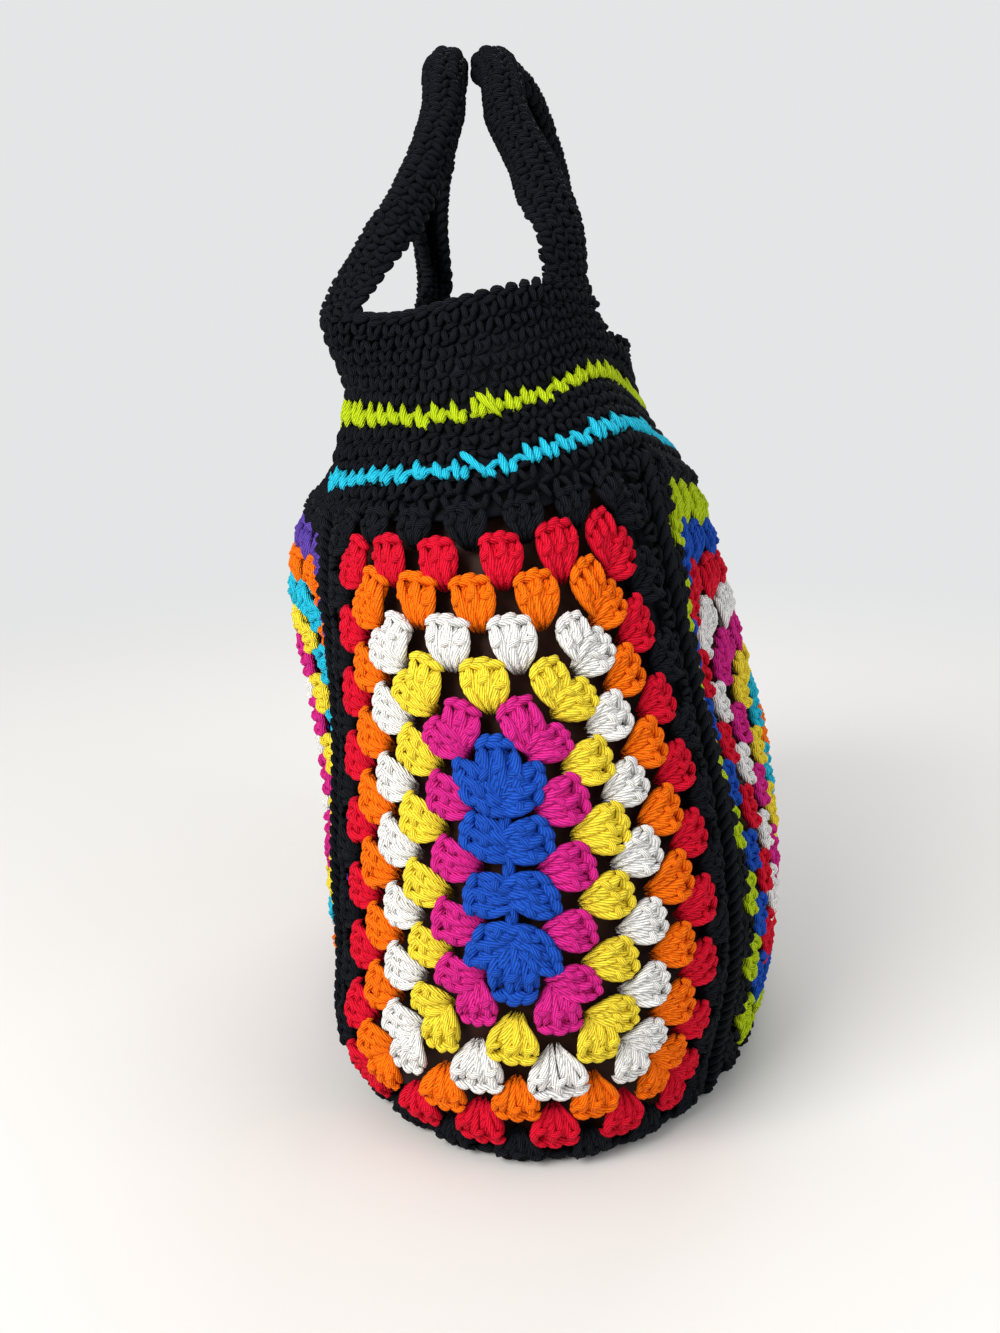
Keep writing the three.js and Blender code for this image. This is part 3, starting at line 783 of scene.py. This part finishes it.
# Puts a panel's own flat places on the wall.
# Where its rounds are drawn in, the border takes up the difference.
def panelSurface(size, place, outer, halfSide):
    middle = (patternBottom + patternTop) / 2

    def surface(flat):
        across, up = flat[..., 0], flat[..., 1]
        drawn = size["drawn"] * smoothstep(up, 0, bag["patternHeight"] / 2)
        inside = 1 - smoothstep(np.abs(across), outer, halfSide)
        return onWall(pointsFrom(place + across * (1 - drawn * inside), middle + up, flat[..., 2]))

    return surface


# A row of single crochet up the side of a border.
def sideRow(side, border, halfSide, surface):
    half = border["halfHeight"]
    count = int(round(2 * half / stitch["pitch"]))
    pitch = 2 * half / count
    centres = pitch * (np.arange(count) + 0.5) - half
    height = halfSide - border["halfWidth"]
    cells = centres, pitch, np.full(count, border["halfWidth"]), np.full(count, height)

    def upTheSide(flat):
        return surface(pointsFrom(side * flat[..., 1], flat[..., 0], flat[..., 2]))

    return layRow("row", cells, 1, upTheSide)


# Black cloth behind the side of a border, so that the lining doesn't show beside a seam.
def sideBacking(side, border, outer, halfSide, surface):
    up = np.linspace(-border["halfHeight"], border["halfHeight"], backing["stations"] + 1)
    near, far = side * (outer + backing["inset"]), side * (halfSide + backing["overlap"])
    front, back = backing["front"], backing["back"]
    corners = [(near, back), (near, front), (far, front), (far, back)]
    return layStrip([pointsFrom(across, up, out) for across, out in corners], surface)


def makePanel(name, kind, place, colours):
    size = panelKinds[kind]
    halfSide = (size["width"] - bag["seamWidth"]) / 2
    outer = halfSide - size["sideBorder"]
    surface = panelSurface(size, place, outer, halfSide)
    rings = [{
        "halfWidth": outer * index / len(colours),
        "halfHeight": size["chain"] / 2 + (size["firstRise"] + (index - 1) * size["rise"] if index else 0),
        "across": index,
        "upright": index + size["spaces"],
    } for index in range(len(colours) + 1)]
    for inner, ring, colour in zip(rings, rings[1:], colours):
        meshes = clusterRound(ring, inner, surface)
        if inner is rings[0] and size["chain"]:
            meshes.append(startingChain(surface))
        yarnPiece(f"{name}_{colour}_round", colour, meshes)
    border = {
        "halfWidth": halfSide - size["sideRow"],
        "halfHeight": bag["patternHeight"] / 2 + bag["bottomBorder"] - borderGap,
        "across": rings[-1]["across"] + 1,
        "upright": rings[-1]["upright"] + 1,
    }
    meshes = clusterRound(border, rings[-1], surface)
    for side in (-1, 1):
        meshes += sideRow(side, border, halfSide, surface)
        meshes.append(sideBacking(side, border, outer, halfSide, surface))
    yarnPiece(name + "_border", "black", meshes)
    print("Panel laid:", name)


for name, (kind, place, colours) in panels.items():
    makePanel(name, kind, place, colours)


# The band: rows of single crochet on strips of cloth

strip = {"stations": 120, "back": -2.2, "front": 0.9}
wallStations = np.linspace(0, perimeter, strip["stations"] + 1)


def rowStitches(bottom, height, row, topAt):
    pitch = perimeter / stitch["count"]
    centres = pitch * (np.arange(stitch["count"]) + 0.5 + stitch["drift"] * row)
    heights = np.minimum(height, topAt(centres) - bottom)
    kept = heights > stitch["least"] * height
    return centres[kept], pitch, np.full(kept.sum(), bottom), heights[kept]


def bandStrip(bottom, topAt):
    top = topAt(wallStations)
    back, front = strip["back"], strip["front"]
    corners = [(bottom, back), (bottom, front), (top, front), (top, back)]
    return layStrip([pointsFrom(wallStations, up, out) for up, out in corners], onWall)


def levelTop(up):
    return lambda along: np.full_like(along, up)


tuck = bag["stripeRow"] / 2  # how far the black cloth reaches under a stripe
bands = [  # node, kind of stitch, colour, bottom, row height, rows, top, and the cloth's own bottom and top
    ("band_lower", "row", "black", borderTop, bag["lowerRow"], bag["lowerRows"], levelTop(lowerTop),
     (borderTop - tuck, levelTop(lowerTop + tuck))),
    ("band_turquoise", "stripe", "turquoise", lowerTop, bag["stripeRow"], 1, levelTop(turquoiseTop), None),
    ("band_middle", "row", "black", turquoiseTop, bag["middleRow"], bag["middleRows"], levelTop(middleTop),
     (turquoiseTop - tuck, levelTop(middleTop + tuck))),
    ("band_lime", "stripe", "lime", middleTop, bag["stripeRow"], 1, levelTop(limeTop), None),
    ("band_upper", "row", "black", limeTop, bag["upperRow"], bag["upperRows"], rimLevel,
     (limeTop - tuck, rimLevel)),
]
rim = {"beads": 96, "slant": 1.3, "strand": 1.6, "lift": 1.7, "sink": 0.6, "reach": 2.2, "back": 0.4}
join = {
    "places": {"band_turquoise": 2, "band_lime": 9},
    "length": 12,
    "rise": 2,
    "level": 0.35,
    "out": 1.6,
    "swell": 2,
    "arch": (0.15, 0.85),  # the stretch of a half wave that it swells by
    "start": 1.6,
    "end": 0.8,
}
footing = {"level": 0.1, "wave": 0.22, "out": 1.9, "strand": 1.05, "points": 6}  # points for each stitch


# Places along the wall of strands all round it, each with a slant given in pitches.
def slantsRound(count, slant):
    return perimeter / count * (np.arange(count)[:, None] + slant * (archSteps - 0.5))


# The rim's edge: slanting beads from the outside over to the inside.
def rimBeads():
    along = slantsRound(rim["beads"], rim["slant"])
    up = rimLevel(along) - rim["sink"] + rim["lift"] * np.sin(np.pi * archSteps)
    out = rim["reach"] * np.cos(np.pi * archSteps) - rim["back"]
    return layStrands(pointsFrom(along, up, out), onWall, rim["strand"], yarn["fineSides"])


# The slanting end of a stripe's round, laid over its start.
def stripeJoin(place, bottom, height):
    steps = archSteps - 0.5
    up = bottom + height * (join["level"] - join["rise"] * steps)
    out = join["out"] + join["swell"] * np.sin(np.pi * np.linspace(*join["arch"], len(steps)))
    thickness = np.linspace(join["start"], join["end"], len(steps))
    flat = pointsFrom(place + join["length"] * steps, up, out)
    return layStrands(flat, onWall, thickness, yarn["fineSides"])


# The strand that joins the feet of a stripe's stitches.
def stripeFooting(bottom, height, row):
    along = np.linspace(0, perimeter, footing["points"] * stitch["count"] + 1)
    turn = 2 * np.pi * (stitch["count"] * along / perimeter - stitch["drift"] * row)
    up = bottom + height * (footing["level"] + footing["wave"] * np.cos(turn))
    return layStrands(pointsFrom(along, up, footing["out"]), onWall, footing["strand"])


rowsLaid = 0
for node, kind, colour, bottom, height, rows, topAt, cloth in bands:
    meshes = [bandStrip(*cloth)] if cloth else []
    if node in join["places"]:
        meshes.append(stripeJoin(join["places"][node], bottom, height))
        meshes.append(stripeFooting(bottom, height, rowsLaid))
    for row in range(rows):
        cells = rowStitches(bottom + row * height, height, rowsLaid, topAt)
        meshes += layRow(kind, cells, 1, onWall)
        if node == "band_upper":
            meshes += layRow(kind, cells, -1, onWall)
        rowsLaid += 1
    if node == "band_upper":
        meshes.append(rimBeads())
    yarnPiece(node, colour, meshes)
print("Band rows laid:", rowsLaid)


# Raised seams between the panels, and the one round the base

seam = {
    "pitch": 4,
    "climb": 1.5,  # in pitches, as is the drop of a strand's start below its level
    "drop": 0.9,
    "strand": 1.2,
    "half": 2.8,
    "past": 0.3,  # how far a strand reaches past the middle
    "foot": 0.8,
    "crest": 4.2,
    "steep": 1.2,  # over 1, so that a strand is at the crest before its end
    "core": 1.9,
    "coreOut": 1.4,
    "corePoints": 25,
    "overlap": 1,
}


def seamBraid(along, low, high):
    count = int(round((high - low) / seam["pitch"]))
    levels = (low + (np.arange(count) + 0.5) * (high - low) / count)[:, None, None]
    across = along + bothSides * (seam["half"] - (seam["half"] + seam["past"]) * archSteps)
    up = levels + seam["pitch"] * (seam["climb"] * archSteps - seam["drop"])
    arch = np.sin(np.pi / 2 * np.minimum(seam["steep"] * archSteps, 1))
    braid = pointsFrom(across, up, seam["foot"] + (seam["crest"] - seam["foot"]) * arch)
    core = pointsFrom(along, np.linspace(low, high, seam["corePoints"]), seam["coreOut"])
    strands = layStrands(braid, onWall, seam["strand"])
    return [strands, layStrands(core, onWall, seam["core"], yarn["fineSides"])]


seamPlaces = {
    "seam_front_right": bag["endWidth"] / 2,
    "seam_front_left": -bag["endWidth"] / 2,
    "seam_back_right": perimeter / 2 - bag["endWidth"] / 2,
    "seam_back_left": perimeter / 2 + bag["endWidth"] / 2,
}
for node, along in seamPlaces.items():
    braid = seamBraid(along, bag["baseSeamRow"] - seam["overlap"], borderTop + seam["overlap"])
    yarnPiece(node, "black", braid)

baseSeam = {
    "count": 130,
    "rows": [(7.6, 9.8), (9, 11.8)],  # from and to, up the wall
    "slant": 1.5,
    "out": 0.6,
    "swell": 1.8,
    "strand": 1.3,
    "section": [(4, -1), (5, 0.2), (8.8, 1), (9.6, -0.8)],  # up and out, for the cloth behind
}


def baseSeamBraid(low, high):
    along = slantsRound(baseSeam["count"], baseSeam["slant"])
    out = baseSeam["out"] + baseSeam["swell"] * np.sin(np.pi * archSteps)
    flat = pointsFrom(along, low + (high - low) * archSteps, out)
    return layStrands(flat, onWall, baseSeam["strand"], yarn["fineSides"])


def baseSeamStrip():
    return layStrip([pointsFrom(wallStations, up, out) for up, out in baseSeam["section"]], onWall)


yarnPiece("base_seam", "black", [baseSeamStrip(), *(baseSeamBraid(*row) for row in baseSeam["rows"])])
print("Seams laid:", len(seamPlaces) + 1)


# The base: rows of stitches under a flat oval

base = {
    "row": 7,
    "pitch": 7,
    "spread": (0.06, 0.44),  # of a leg's foot and top, in rows
    "climb": 1.1,  # in pitches
    "drop": 0.5,
    "dip": 0.9,
    "strand": 1.3,
    "margin": 5,
    "slabMargin": 1,
    "low": 1.6,
    "high": 4.8,
    "sides": 80,
}
baseHalf = np.array(bag["sections"][0][:2])


def onBase(flat):
    return flat, np.broadcast_to(np.array([0.0, 0.0, -1.0]), flat.shape)


def baseStitches():
    columns = np.arange(-baseHalf[0], baseHalf[0], base["row"])
    rows = np.arange(-baseHalf[1], baseHalf[1], base["pitch"])
    spots = np.stack(np.meshgrid(columns, rows), axis=-1).reshape(-1, 2)
    share = (spots / (baseHalf - base["margin"])) ** 2
    spots = spots[share.sum(axis=1) < 1][:, None, None]
    across = spots[..., 0] + base["row"] * bothSides * np.linspace(*base["spread"], len(plainSteps))
    along = spots[..., 1] + base["pitch"] * (base["climb"] * plainSteps - base["drop"])
    height = base["low"] + base["dip"] * (1 - np.sin(np.pi * plainSteps))
    return layStrands(pointsFrom(across, along, height), onBase, base["strand"], yarn["hiddenSides"])


def baseSlab():
    slab = bmesh.new()
    slab.loops.layers.uv.new("UVMap")
    bmesh.ops.create_circle(slab, cap_ends=True, segments=base["sides"], radius=1, calc_uvs=True)
    raised = bmesh.ops.extrude_face_region(slab, geom=slab.faces[:], use_keep_orig=True)
    top = {vert for vert in raised["geom"] if isinstance(vert, bmesh.types.BMVert)}
    for vert in slab.verts:
        edge = np.array(vert.co[:2]) * (baseHalf - base["slabMargin"]) * metre
        vert.co = (*edge, (base["high"] if vert in top else base["low"]) * metre)
    mesh = meshFrom(slab, "slab")
    setTone(mesh, np.full(len(mesh.vertices), yarn["clothTone"]))
    return mesh


yarnPiece("base_panel", "black", [baseSlab(), baseStitches()])
print("Base laid")


# Handles: a strip of rows that is flat at both roots and rolls into a tube above

handle = {
    "width": 22,
    "places": {-1: 78, 1: 70},  # from the middle of an end panel
    "curl": 2.1,
    "baseCurl": 0.3,
    "apexHeight": 353,
    "spacing": 16,
    "lean": -32.5,
    "nearLegs": {  # shares of the way across, along and up from a root to the top
        -1: [(0.36, 0.05, 0.21), (0.8, 0.2, 0.44), (1.06, 0.48, 0.72), (1.02, 0.76, 0.93)],
        1: [(0.06, 0.05, 0.21), (0.33, 0.2, 0.44), (0.74, 0.48, 0.72), (0.86, 0.76, 0.93)],
    },
    "farLegs": {
        -1: [(0, 0.05, 0.21), (0.12, 0.2, 0.44), (0.52, 0.48, 0.72), (0.88, 0.76, 0.93)],
        1: [(0.08, 0.05, 0.21), (0.22, 0.2, 0.44), (0.44, 0.48, 0.72), (0.72, 0.76, 0.93)],
    },
    "legSteps": 40,
    "uprightShare": 0.06,  # share of its length over which it turns from upright to its route
    "turned": 0.8,  # share of the way up its arch at which it lies across the bag
    "nearRolled": 0.7,  # and at which it is rolled up, on the near leg and sooner on the far one
    "farRolled": 0.3,
    "rows": 5,
    "pitch": 5,
    "overlap": 5,  # how far it runs down into the rim
    "face": 0.3,  # from the middle of the strip to the back of its stitches
    "edge": 1.25,
    "edgeSlant": 1.3,  # in pitches
    "edgeInset": 1.1,
    "edgeSwell": 0.8,
    "edgeReach": 1.3,
    "coreDepth": 1,
    "coreInset": 0.8,
    "coreStations": 60,
    "corePoints": 7,
    "clearance": 0.3,
    "rowValley": 0.8,
    "rootStep": 6,  # to either side of a root, for the way that the rim runs there
    "rootSpots": 5,
}


def wallSpot(along, up, out):
    return onWall(np.array([[along, up, out]], float))[0][0]


def handleRoot(place):
    root = wallSpot(place, wallHeight, 0)
    scale = np.hypot(*bag["widest"]) / np.hypot(*bag["sections"][-1][:2])
    for side in np.linspace(-1, 1, handle["rootSpots"]):
        spot = wallSpot(place + side * handle["width"] / 2 * scale, wallHeight, handle["rowValley"])
        root[2] = max(root[2], spot[2] + handle["clearance"])
    return root


def rootWidth(place):
    step = handle["rootStep"]
    width = wallSpot(place + step, wallHeight, 0) - wallSpot(place - step, wallHeight, 0)
    return unit(width * (1, 1, 0))


# A function that gives points and normals for flat places (along the handle, across it, out of it).
def handleSurface(side):
    nearPlace = side * handle["places"][side]
    farPlace = perimeter / 2 - nearPlace
    near, far = handleRoot(nearPlace), handleRoot(farPlace)
    apex = np.array([handle["lean"] + side * handle["spacing"] / 2, 0, handle["apexHeight"]])
    nearLeg = [near + np.array(share) * (apex - near) for share in handle["nearLegs"][side]]
    farLeg = [far + np.array(share) * (apex - far) for share in handle["farLegs"][side]]
    route = splineThrough([near, *nearLeg, apex, *farLeg[::-1], far], handle["legSteps"], unevenKnots)
    shares = arcShares(route)
    length = np.linalg.norm(np.diff(route, axis=0), axis=1).sum()
    tangents = np.gradient(route, axis=0)
    upright = smoothstep(np.minimum(shares, 1 - shares), 0, handle["uprightShare"])[:, None]
    ends = np.where(shares[:, None] < 0.5, 1, -1) * np.array([0, 0, 1])
    tangents = unit(unit(tangents) * upright + ends * (1 - upright))
    nearWidth, farWidth = rootWidth(nearPlace), -rootWidth(farPlace)

    def surface(flat):
        share = np.clip(flat[..., :1] / length, 0, 1)
        spot = pickAlong(route, shares, share[..., 0])
        tangent = unit(pickAlong(tangents, shares, share[..., 0]))
        raised = np.sin(np.pi * share)
        toward = smoothstep(raised, 0, handle["turned"])
        width = np.where(share < 0.5, nearWidth, farWidth) * (1 - toward) + np.array([1, 0, 0]) * toward
        width = unit(width - tangent * np.sum(width * tangent, axis=-1, keepdims=True))
        outward = np.cross(width, tangent)
        rolled = smoothstep(raised, 0, np.where(share < 0.5, handle["nearRolled"], handle["farRolled"]))
        curl = handle["baseCurl"] + (handle["curl"] - handle["baseCurl"]) * rolled
        radius = handle["width"] / (2 * curl)
        angle = flat[..., 1:2] / radius
        normal = width * np.sin(angle) + outward * np.cos(angle)
        beyond = tangent * (flat[..., :1] - share * length)
        return spot + beyond + normal * (radius + flat[..., 2:3]) - outward * radius, normal

    return surface, length


# The pitch of the stitches along a handle, and their places.
def handleCells(length):
    whole = length + 2 * handle["overlap"]
    count = int(round(whole / handle["pitch"]))
    pitch = whole / count
    return pitch, pitch * (np.arange(count) + 0.5) - handle["overlap"]


def handleStitches(surface, length, face):
    pitch, places = handleCells(length)
    rowHeight = handle["width"] / handle["rows"]
    heights = np.full(len(places), rowHeight)

    def onFace(flat):
        return surface(flat + np.array([0, 0, face * handle["face"]]))

    meshes = []
    for row in range(handle["rows"]):
        centres = places + pitch * stitch["drift"] * row
        bottoms = np.full(len(places), row * rowHeight - handle["width"] / 2)
        meshes += layRow("handle", (centres, pitch, bottoms, heights), face, onFace)
    return meshes


def handleEdges(surface, length):
    pitch, places = handleCells(length)
    along = places[:, None, None] + pitch * handle["edgeSlant"] * (archSteps - 0.5)
    reach = handle["width"] / 2 - handle["edgeInset"] + handle["edgeSwell"] * np.sin(np.pi * archSteps)
    flat = pointsFrom(along, bothSides * reach, handle["edgeReach"] * np.cos(np.pi * archSteps))
    return layStrands(flat, surface, handle["edge"], yarn["fineSides"])


def handleCore(surface, length):
    along = np.linspace(-handle["overlap"], length + handle["overlap"], handle["coreStations"] + 1)
    half, depth = handle["width"] / 2 - handle["coreInset"], handle["coreDepth"]
    across = np.linspace(-half, half, handle["corePoints"])
    section = [(spot, depth) for spot in across] + [(spot, -depth) for spot in across[::-1]]
    return layStrip([pointsFrom(along, spot, out) for spot, out in section], surface)


for node, side in (("handle_left", -1), ("handle_right", 1)):
    surface, length = handleSurface(side)
    meshes = handleStitches(surface, length, 1) + handleStitches(surface, length, -1)
    yarnPiece(node, "black", meshes + [handleEdges(surface, length), handleCore(surface, length)])
    print("Handle laid:", node, "length", round(length))


# Lining: a satin cup, caught under the lowest row of the rim

lining = {
    "flat": (0.8, 0.38),  # the cut, in metres, with its bottom corners boxed
    "area": 0.23,
    "top": limeTop + 2,
    "footRow": 8,  # how far up the wall its floor turns up
    "floor": 5.6,
    "gap": 3.6,
    "fold": 2.2,
    "foldedFrom": 40,  # how far up the wall its folds are full
    "foldMiddle": 0.5,
    "folds": [  # size, folds round the bag, turn for each millimetre up, and the same for how they wander
        (0.25, 19, 0.02, [(0.9, 3, 0), (0.8, 2, 0.045)]),
        (0.12, 43, -0.05, [(1.3, 5, 0)]),
        (0.13, 0, 0.11, [(4, 2, 0), (1.5, 7, 0)]),
    ],
    "thickness": 0.5,
    "around": 240,
    "floorRings": 10,
    "wallRings": 56,
    "colour": (0.04, 0.018, 0.013),
    "shades": (0.7, 1.25),  # of the colour, at its darkest and lightest
    "cloudScale": 40,
    "weaveScale": 2500,
    "roughness": (0.2, 0.35),  # how far the weave varies it, and its lowest value
    "specular": 0.05,
    "bump": 0.25,
    "bumpDepth": 0.0002,
}


def liningFolds(along, up):
    turn = 2 * np.pi * along / perimeter
    depth = lining["foldMiddle"]
    for size, count, climb, wanders in lining["folds"]:
        wander = sum(way * np.sin(times * turn + rise * up) for way, times, rise in wanders)
        depth = depth + size * np.sin(count * turn + climb * up + wander)
    return depth


def makeSatin():
    material, tree, shader = newMaterial("brownSatin")
    coords = addNode(tree, "ShaderNodeTexCoord", (-1000, 0)).outputs["Object"]
    weaveInputs = {"Vector": coords, "Scale": lining["weaveScale"]}
    weave = addNode(tree, "ShaderNodeTexNoise", (-700, 0), weaveInputs).outputs["Fac"]
    cloudInputs = {"Vector": coords, "Scale": lining["cloudScale"]}
    cloud = addNode(tree, "ShaderNodeTexNoise", (-700, 260), cloudInputs).outputs["Fac"]
    dark, light = ([shade * value for value in lining["colour"]] for shade in lining["shades"])
    tintInputs = {"A": (*dark, 1), "B": (*light, 1), "Factor": cloud}
    tint = addNode(tree, "ShaderNodeMix", (-400, 260), tintInputs, data_type="RGBA")
    bump = addNode(tree, "ShaderNodeBump", (-250, -200), {
        "Strength": lining["bump"],
        "Distance": lining["bumpDepth"],
        "Height": weave,
    })
    setInputs(tree, shader, {
        "Base Color": tint.outputs["Result"],
        "Roughness": addMath(tree, "MULTIPLY_ADD", (-400, 60), weave, *lining["roughness"]),
        "Specular IOR Level": lining["specular"],
        "Normal": bump.outputs["Normal"],
    })
    return material


def makeLining():
    size = lining
    rings = size["floorRings"] + size["wallRings"]
    grid, places = gridCopies(1, size["around"], rings)
    along = places[:, 0] * perimeter
    ring = places[:, 1] * rings
    onFloor = ring < size["floorRings"]
    rise = np.clip((ring - size["floorRings"]) / size["wallRings"], 0, 1)
    up = size["footRow"] + (size["top"] - size["footRow"]) * rise
    folded = smoothstep(up, size["footRow"], size["foldedFrom"])
    folded = folded * (1 - smoothstep(up, middleTop, size["top"]))
    out = -size["gap"] - size["fold"] * folded * liningFolds(along, up)
    points = onWall(pointsFrom(along, up, out))[0]
    share = np.clip(ring / size["floorRings"], 0, 1)
    points[onFloor, :2] *= share[onFloor, None]
    points[onFloor, 2] = size["floor"]
    setPlaces(grid, points)
    mesh = joinMeshes("lining_satin", [grid])
    mesh.materials.append(makeSatin())
    piece = addObject("lining_satin", mesh)
    wall = piece.modifiers.new("cloth", "SOLIDIFY")
    wall.thickness = size["thickness"] * metre
    wall.offset = 0
    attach(piece, "root")
    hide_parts("lining")


makeLining()
print("Lining hung")


# Stage, light and camera

studio = {
    "floor": (0.74, 0.73, 0.71),
    "floorRoughness": 0.7,
    "floorSize": 4,  # metres from its middle to an edge
    "background": (0.78, 0.785, 0.79),
    "fade": (0.25, 1.1),  # metres from the bag over which the floor turns into the background
    "worldLight": 0.7,
    "lamps": [  # place, size, watts, colour
        ((-0.9, -1.2, 1.1), 0.9, 33, (1.0, 0.98, 0.95)),
        ((1.3, -0.8, 0.9), 1.2, 8, (0.95, 0.97, 1.0)),
        ((0.2, 1.3, 1.2), 1.0, 9, (1.0, 1.0, 1.0)),
    ],
    "aim": (0, 0, 0.16),
}
camera = {
    "eye": (0.0148, -0.5167, 0.2448),
    "look": (-0.068, 0.9728, -0.2215),
    "focalPixels": 1339.9,
    "frameHeight": 1333,
    "sensor": 36,
    "nearest": 0.01,
}
backgroundColour = (*studio["background"], 1)


def makeFloor():
    plane = bmesh.new()
    bmesh.ops.create_grid(plane, x_segments=1, y_segments=1, size=studio["floorSize"])
    mesh = meshFrom(plane, "floor")
    material, tree, shader = newMaterial("paleFloor")
    setInputs(tree, shader, {"Base Color": (*studio["floor"], 1), "Roughness": studio["floorRoughness"]})
    coords = addNode(tree, "ShaderNodeTexCoord", (-900, -300)).outputs["Object"]
    distance = addNode(tree, "ShaderNodeVectorMath", (-700, -300), {0: coords}, operation="LENGTH")
    fade = addNode(tree, "ShaderNodeMapRange", (-500, -300), {
        "Value": distance.outputs["Value"],
        "From Min": studio["fade"][0],
        "From Max": studio["fade"][1],
    }, interpolation_type="SMOOTHSTEP")
    rays = addNode(tree, "ShaderNodeLightPath", (-500, 0))
    share = addMath(tree, "MULTIPLY", (-250, -200), fade.outputs["Result"], rays.outputs["Is Camera Ray"])
    backdrop = addNode(tree, "ShaderNodeEmission", (0, -300), {"Color": backgroundColour})
    blendInputs = {"Fac": share, 1: shader.outputs["BSDF"], 2: backdrop.outputs["Emission"]}
    blend = addNode(tree, "ShaderNodeMixShader", (350, 0), blendInputs)
    setInputs(tree, tree.nodes["Material Output"], {"Surface": blend.outputs["Shader"]})
    mesh.materials.append(material)
    floor = addObject("floor", mesh)


def facing(way):
    return way.to_track_quat("-Z", "Y").to_euler()


def makeLights():
    for index, (place, size, watts, colour) in enumerate(studio["lamps"]):
        lamp = bpy.data.lights.new(f"softbox{index}", "AREA")
        lamp.size = size
        lamp.energy = watts
        lamp.color = colour
        holder = addObject(f"softbox{index}", lamp)
        holder.location = place
        holder.rotation_euler = facing(Vector(studio["aim"]) - Vector(place))
    world = bpy.data.worlds.new("studio")
    bpy.context.scene.world = world
    world.use_nodes = True
    tree = world.node_tree
    light = tree.nodes["Background"]
    setInputs(tree, light, {"Color": backgroundColour, "Strength": studio["worldLight"]})
    shown = addNode(tree, "ShaderNodeBackground", (0, -200), {"Color": backgroundColour})
    rays = addNode(tree, "ShaderNodeLightPath", (0, 400))
    choose = addNode(tree, "ShaderNodeMixShader", (300, 0), {
        "Fac": rays.outputs["Is Camera Ray"],
        1: light.outputs["Background"],
        2: shown.outputs["Background"],
    })
    setInputs(tree, tree.nodes["World Output"], {"Surface": choose.outputs["Shader"]})


def makeCamera():
    lens = bpy.data.cameras.new("camera")
    lens.sensor_width = camera["sensor"]
    lens.lens = camera["sensor"] * camera["focalPixels"] / camera["frameHeight"]
    lens.clip_start = camera["nearest"]
    eye = addObject("camera", lens)
    eye.location = camera["eye"]
    eye.rotation_euler = facing(Vector(camera["look"]))
    bpy.context.scene.camera = eye


makeFloor()
makeLights()
makeCamera()
bpy.context.scene.view_settings.view_transform = "Standard"

bpy.context.view_layer.update()
